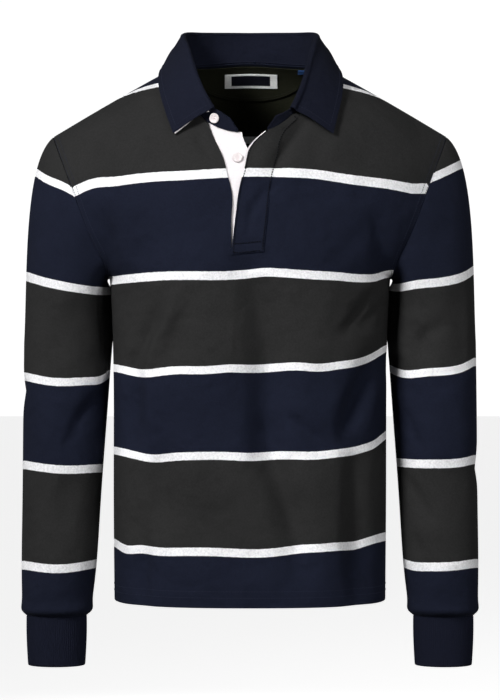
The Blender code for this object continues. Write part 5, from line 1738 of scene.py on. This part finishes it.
def add_mesh(name, points, faces, material):
    mesh = bpy.data.meshes.new(name)
    mesh.from_pydata(np.asarray(points, float).tolist(), [], [[int(i) for i in f] for f in faces])
    mesh.update()
    mesh.shade_smooth()
    mesh.materials.append(material)
    made = bpy.data.objects.new(name, mesh)
    bpy.context.collection.objects.link(made)
    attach(made, "root")
    return made


def add_cloth(sheet, material, stripes):
    """The sheet's walls as a piece, with its cloth lengths and its stripe numbers."""
    points, faces, normals, source, inside = wall(sheet)
    made = add_mesh(sheet.name + "_cloth", points, faces, material)
    mesh = made.data
    mesh.normals_split_custom_set_from_vertices(normals)
    mesh.attributes.new("inside", "FLOAT", "POINT").data.foreach_set("value", inside)
    corner = np.zeros(len(mesh.loops), int)
    mesh.loops.foreach_get("vertex_index", corner)
    lengths = sheet.cloth[source][corner]
    mesh.uv_layers.new(name="cloth").data.foreach_set("uv", lengths.reshape(-1))
    if stripes is not None:
        number = mesh.attributes.new("stripe", "FLOAT", "POINT")
        number.data.foreach_set("value", stripes(sheet)[source])
    if sheet.name not in NOT_IN_SOLIDS:
        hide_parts(sheet.name)
    return made


def add_sewing(sewing, material):
    """The stitches of a sheet as a piece."""
    name = sewing.sheet.name
    made = add_mesh(name + "_sewing", sewing.points, sewing.faces, material)
    return made


def area_light(name, place, aim, across, power, spread):
    data = bpy.data.lights.new(name, "AREA")
    data.size = across
    data.energy = power
    data.spread = math.radians(spread)
    lamp = bpy.data.objects.new(name, data)
    lamp.location = place
    way = Vector(aim) - Vector(place)
    lamp.rotation_euler = way.to_track_quat("-Z", "Y").to_euler()
    bpy.context.collection.objects.link(lamp)


def make_stage():
    """A white room with a pale floor, and soft lights from the front."""
    world = bpy.data.worlds.new("studio")
    world.use_nodes = True
    tree = world.node_tree
    background = tree.nodes["Background"]
    background.inputs[0].default_value = PURE_WHITE
    rays = tree.nodes.new("ShaderNodeLightPath")
    strength = tree.nodes.new("ShaderNodeMapRange")
    strength.inputs["To Min"].default_value = DOME_LIGHT
    strength.inputs["To Max"].default_value = ROOM_WHITE
    tree.links.new(rays.outputs["Is Camera Ray"], strength.inputs["Value"])
    tree.links.new(strength.outputs[0], background.inputs[1])
    bpy.context.scene.world = world
    bpy.context.scene.view_settings.view_transform = "Standard"

    paint = Paint("pale_floor", 0.8)
    paint.colour(FLOOR_PALE, 0.01)
    paint.put(paint.shader.inputs["Emission Color"], PURE_WHITE)
    paint.put(paint.shader.inputs["Emission Strength"], FLOOR_GLOW)
    mesh = bpy.data.meshes.new("floor")
    corners = [(x * FLOOR_REACH, y * FLOOR_REACH) for x, y in ((-1, -1), (1, -1), (1, 1), (-1, 1))]
    mesh.from_pydata([(x, y, FLOOR_Z) for x, y in corners], [], [(0, 1, 2, 3)])
    mesh.materials.append(paint.material)
    floor = bpy.data.objects.new("floor", mesh)
    floor.visible_diffuse = False
    floor.visible_glossy = False
    bpy.context.collection.objects.link(floor)

    for light in LIGHTS:
        area_light(**light)


def make_sheets():
    """Every sheet by its name, the front's two half grids, and the stripe numbers of the striped ones."""
    front, left_half, right_half = make_front()
    back = make_back()
    sheets = [front, back]
    stripes = {
        "front": panel_stripes(FRONT, front_stripes, SHOULDER_PITCH["front"], SHOULDER_WIDEN["front"]),
        "back": panel_stripes(BACK, back_stripes, SHOULDER_PITCH["back"], SHOULDER_WIDEN["back"]),
        "placket_over": lambda sheet: front_stripes(sheet.points),
    }
    for side, flip in (("left", True), ("right", False)):
        sleeve = sleeve_grid(side)
        cuff = cuff_grid()
        if side == "right":
            sleeve, cuff = mirrored(sleeve), mirrored(cuff)
        sheets.append(Sheet("sleeve_" + side, sleeve, JERSEY, flip, sleeve.shape[1] // 2))
        sheets.append(Sheet("cuff_" + side, cuff, RIB, flip))
        stripes["sleeve_" + side] = sleeve_stripes(side)
    seam, seam_normals = neck_loop()
    stand = Sheet("collar_stand", stand_grid(seam), TWILL, True)
    leaf = Sheet("collar", leaf_grid(seam, seam_normals), TWILL)
    mitre([sheets[:2]] + [[tube] for tube in sheets[2:]] + [[stand]])
    butt(stand, leaf, seam)
    under = Sheet("undercollar", undercollar_grid(leaf), FACING)
    lower = Sheet("placket_under", placket_under_grid(), FACING)
    edge = Sheet("facing_edge", facing_edge_grid(), FACING_THIN)
    patch = Sheet("neck_patch", neck_patch_grid(back), FACING)
    label = Sheet("neck_label", neck_trim_grid(patch, **LABEL), LABEL_CLOTH)
    tab = Sheet("size_tab", neck_trim_grid(patch, **SIZE_TAB), LABEL_CLOTH)
    sheets += [placket_over(), stand, leaf, under, lower, edge, patch, label, tab]
    return {sheet.name: sheet for sheet in sheets}, (left_half, right_half), stripes


def sew_all(sheets, halves):
    """The stitches of each sewn sheet."""
    left, right = halves
    sewings = [
        sewn_panel(sheets["front"], (left, "first"), (right, "last")),
        sewn_back(sheets["back"]),
        sewn_sleeve(sheets["sleeve_left"]),
        sewn_sleeve(sheets["sleeve_right"]),
        sewn_placket(sheets["placket_over"]),
        sewn_stand(sheets["collar_stand"]),
        sewn_collar(sheets["collar"]),
        sewn_patch(sheets["neck_patch"]),
    ]
    return {sewing.sheet.name: sewing for sewing in sewings}


def add_button(name, sheet, spot, resin):
    centre, normal = place_on(sheet, *spot)
    points, faces = button(centre + normal * BUTTON_GAP, normal)
    made = add_mesh(name + "_turned", points, faces, resin)
    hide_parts(name)


def main():
    make_stage()
    sheets, halves, stripes = make_sheets()
    materials = {slot: make() for slot, make in MATERIALS.items()}
    pieces = {}
    for name, sheet in sheets.items():
        pieces[name] = add_cloth(sheet, materials[CLOTHS[name][0]], stripes.get(name))
    resin = button_material()
    add_button("button_collar", sheets["collar_stand"], COLLAR_BUTTON, resin)
    add_button("button_placket", sheets["placket_under"], PLACKET_BUTTON, resin)
    navy_thread = thread_material("navy_thread", NAVY_THREAD)
    threads = {
        "neck_patch": thread_material("dark_thread", DARK_THREAD),
        # the placket's stitches are near-black, painted shade of its stitched grooves
        "placket_over": thread_material("groove_shade_thread", GROOVE_SHADE_THREAD),
    }
    sewings = sew_all(sheets, halves)
    for name, piece in pieces.items():
        sewn = []
        if name in sewings:
            sewn = [add_sewing(sewings[name], threads.get(name, navy_thread))]


main()
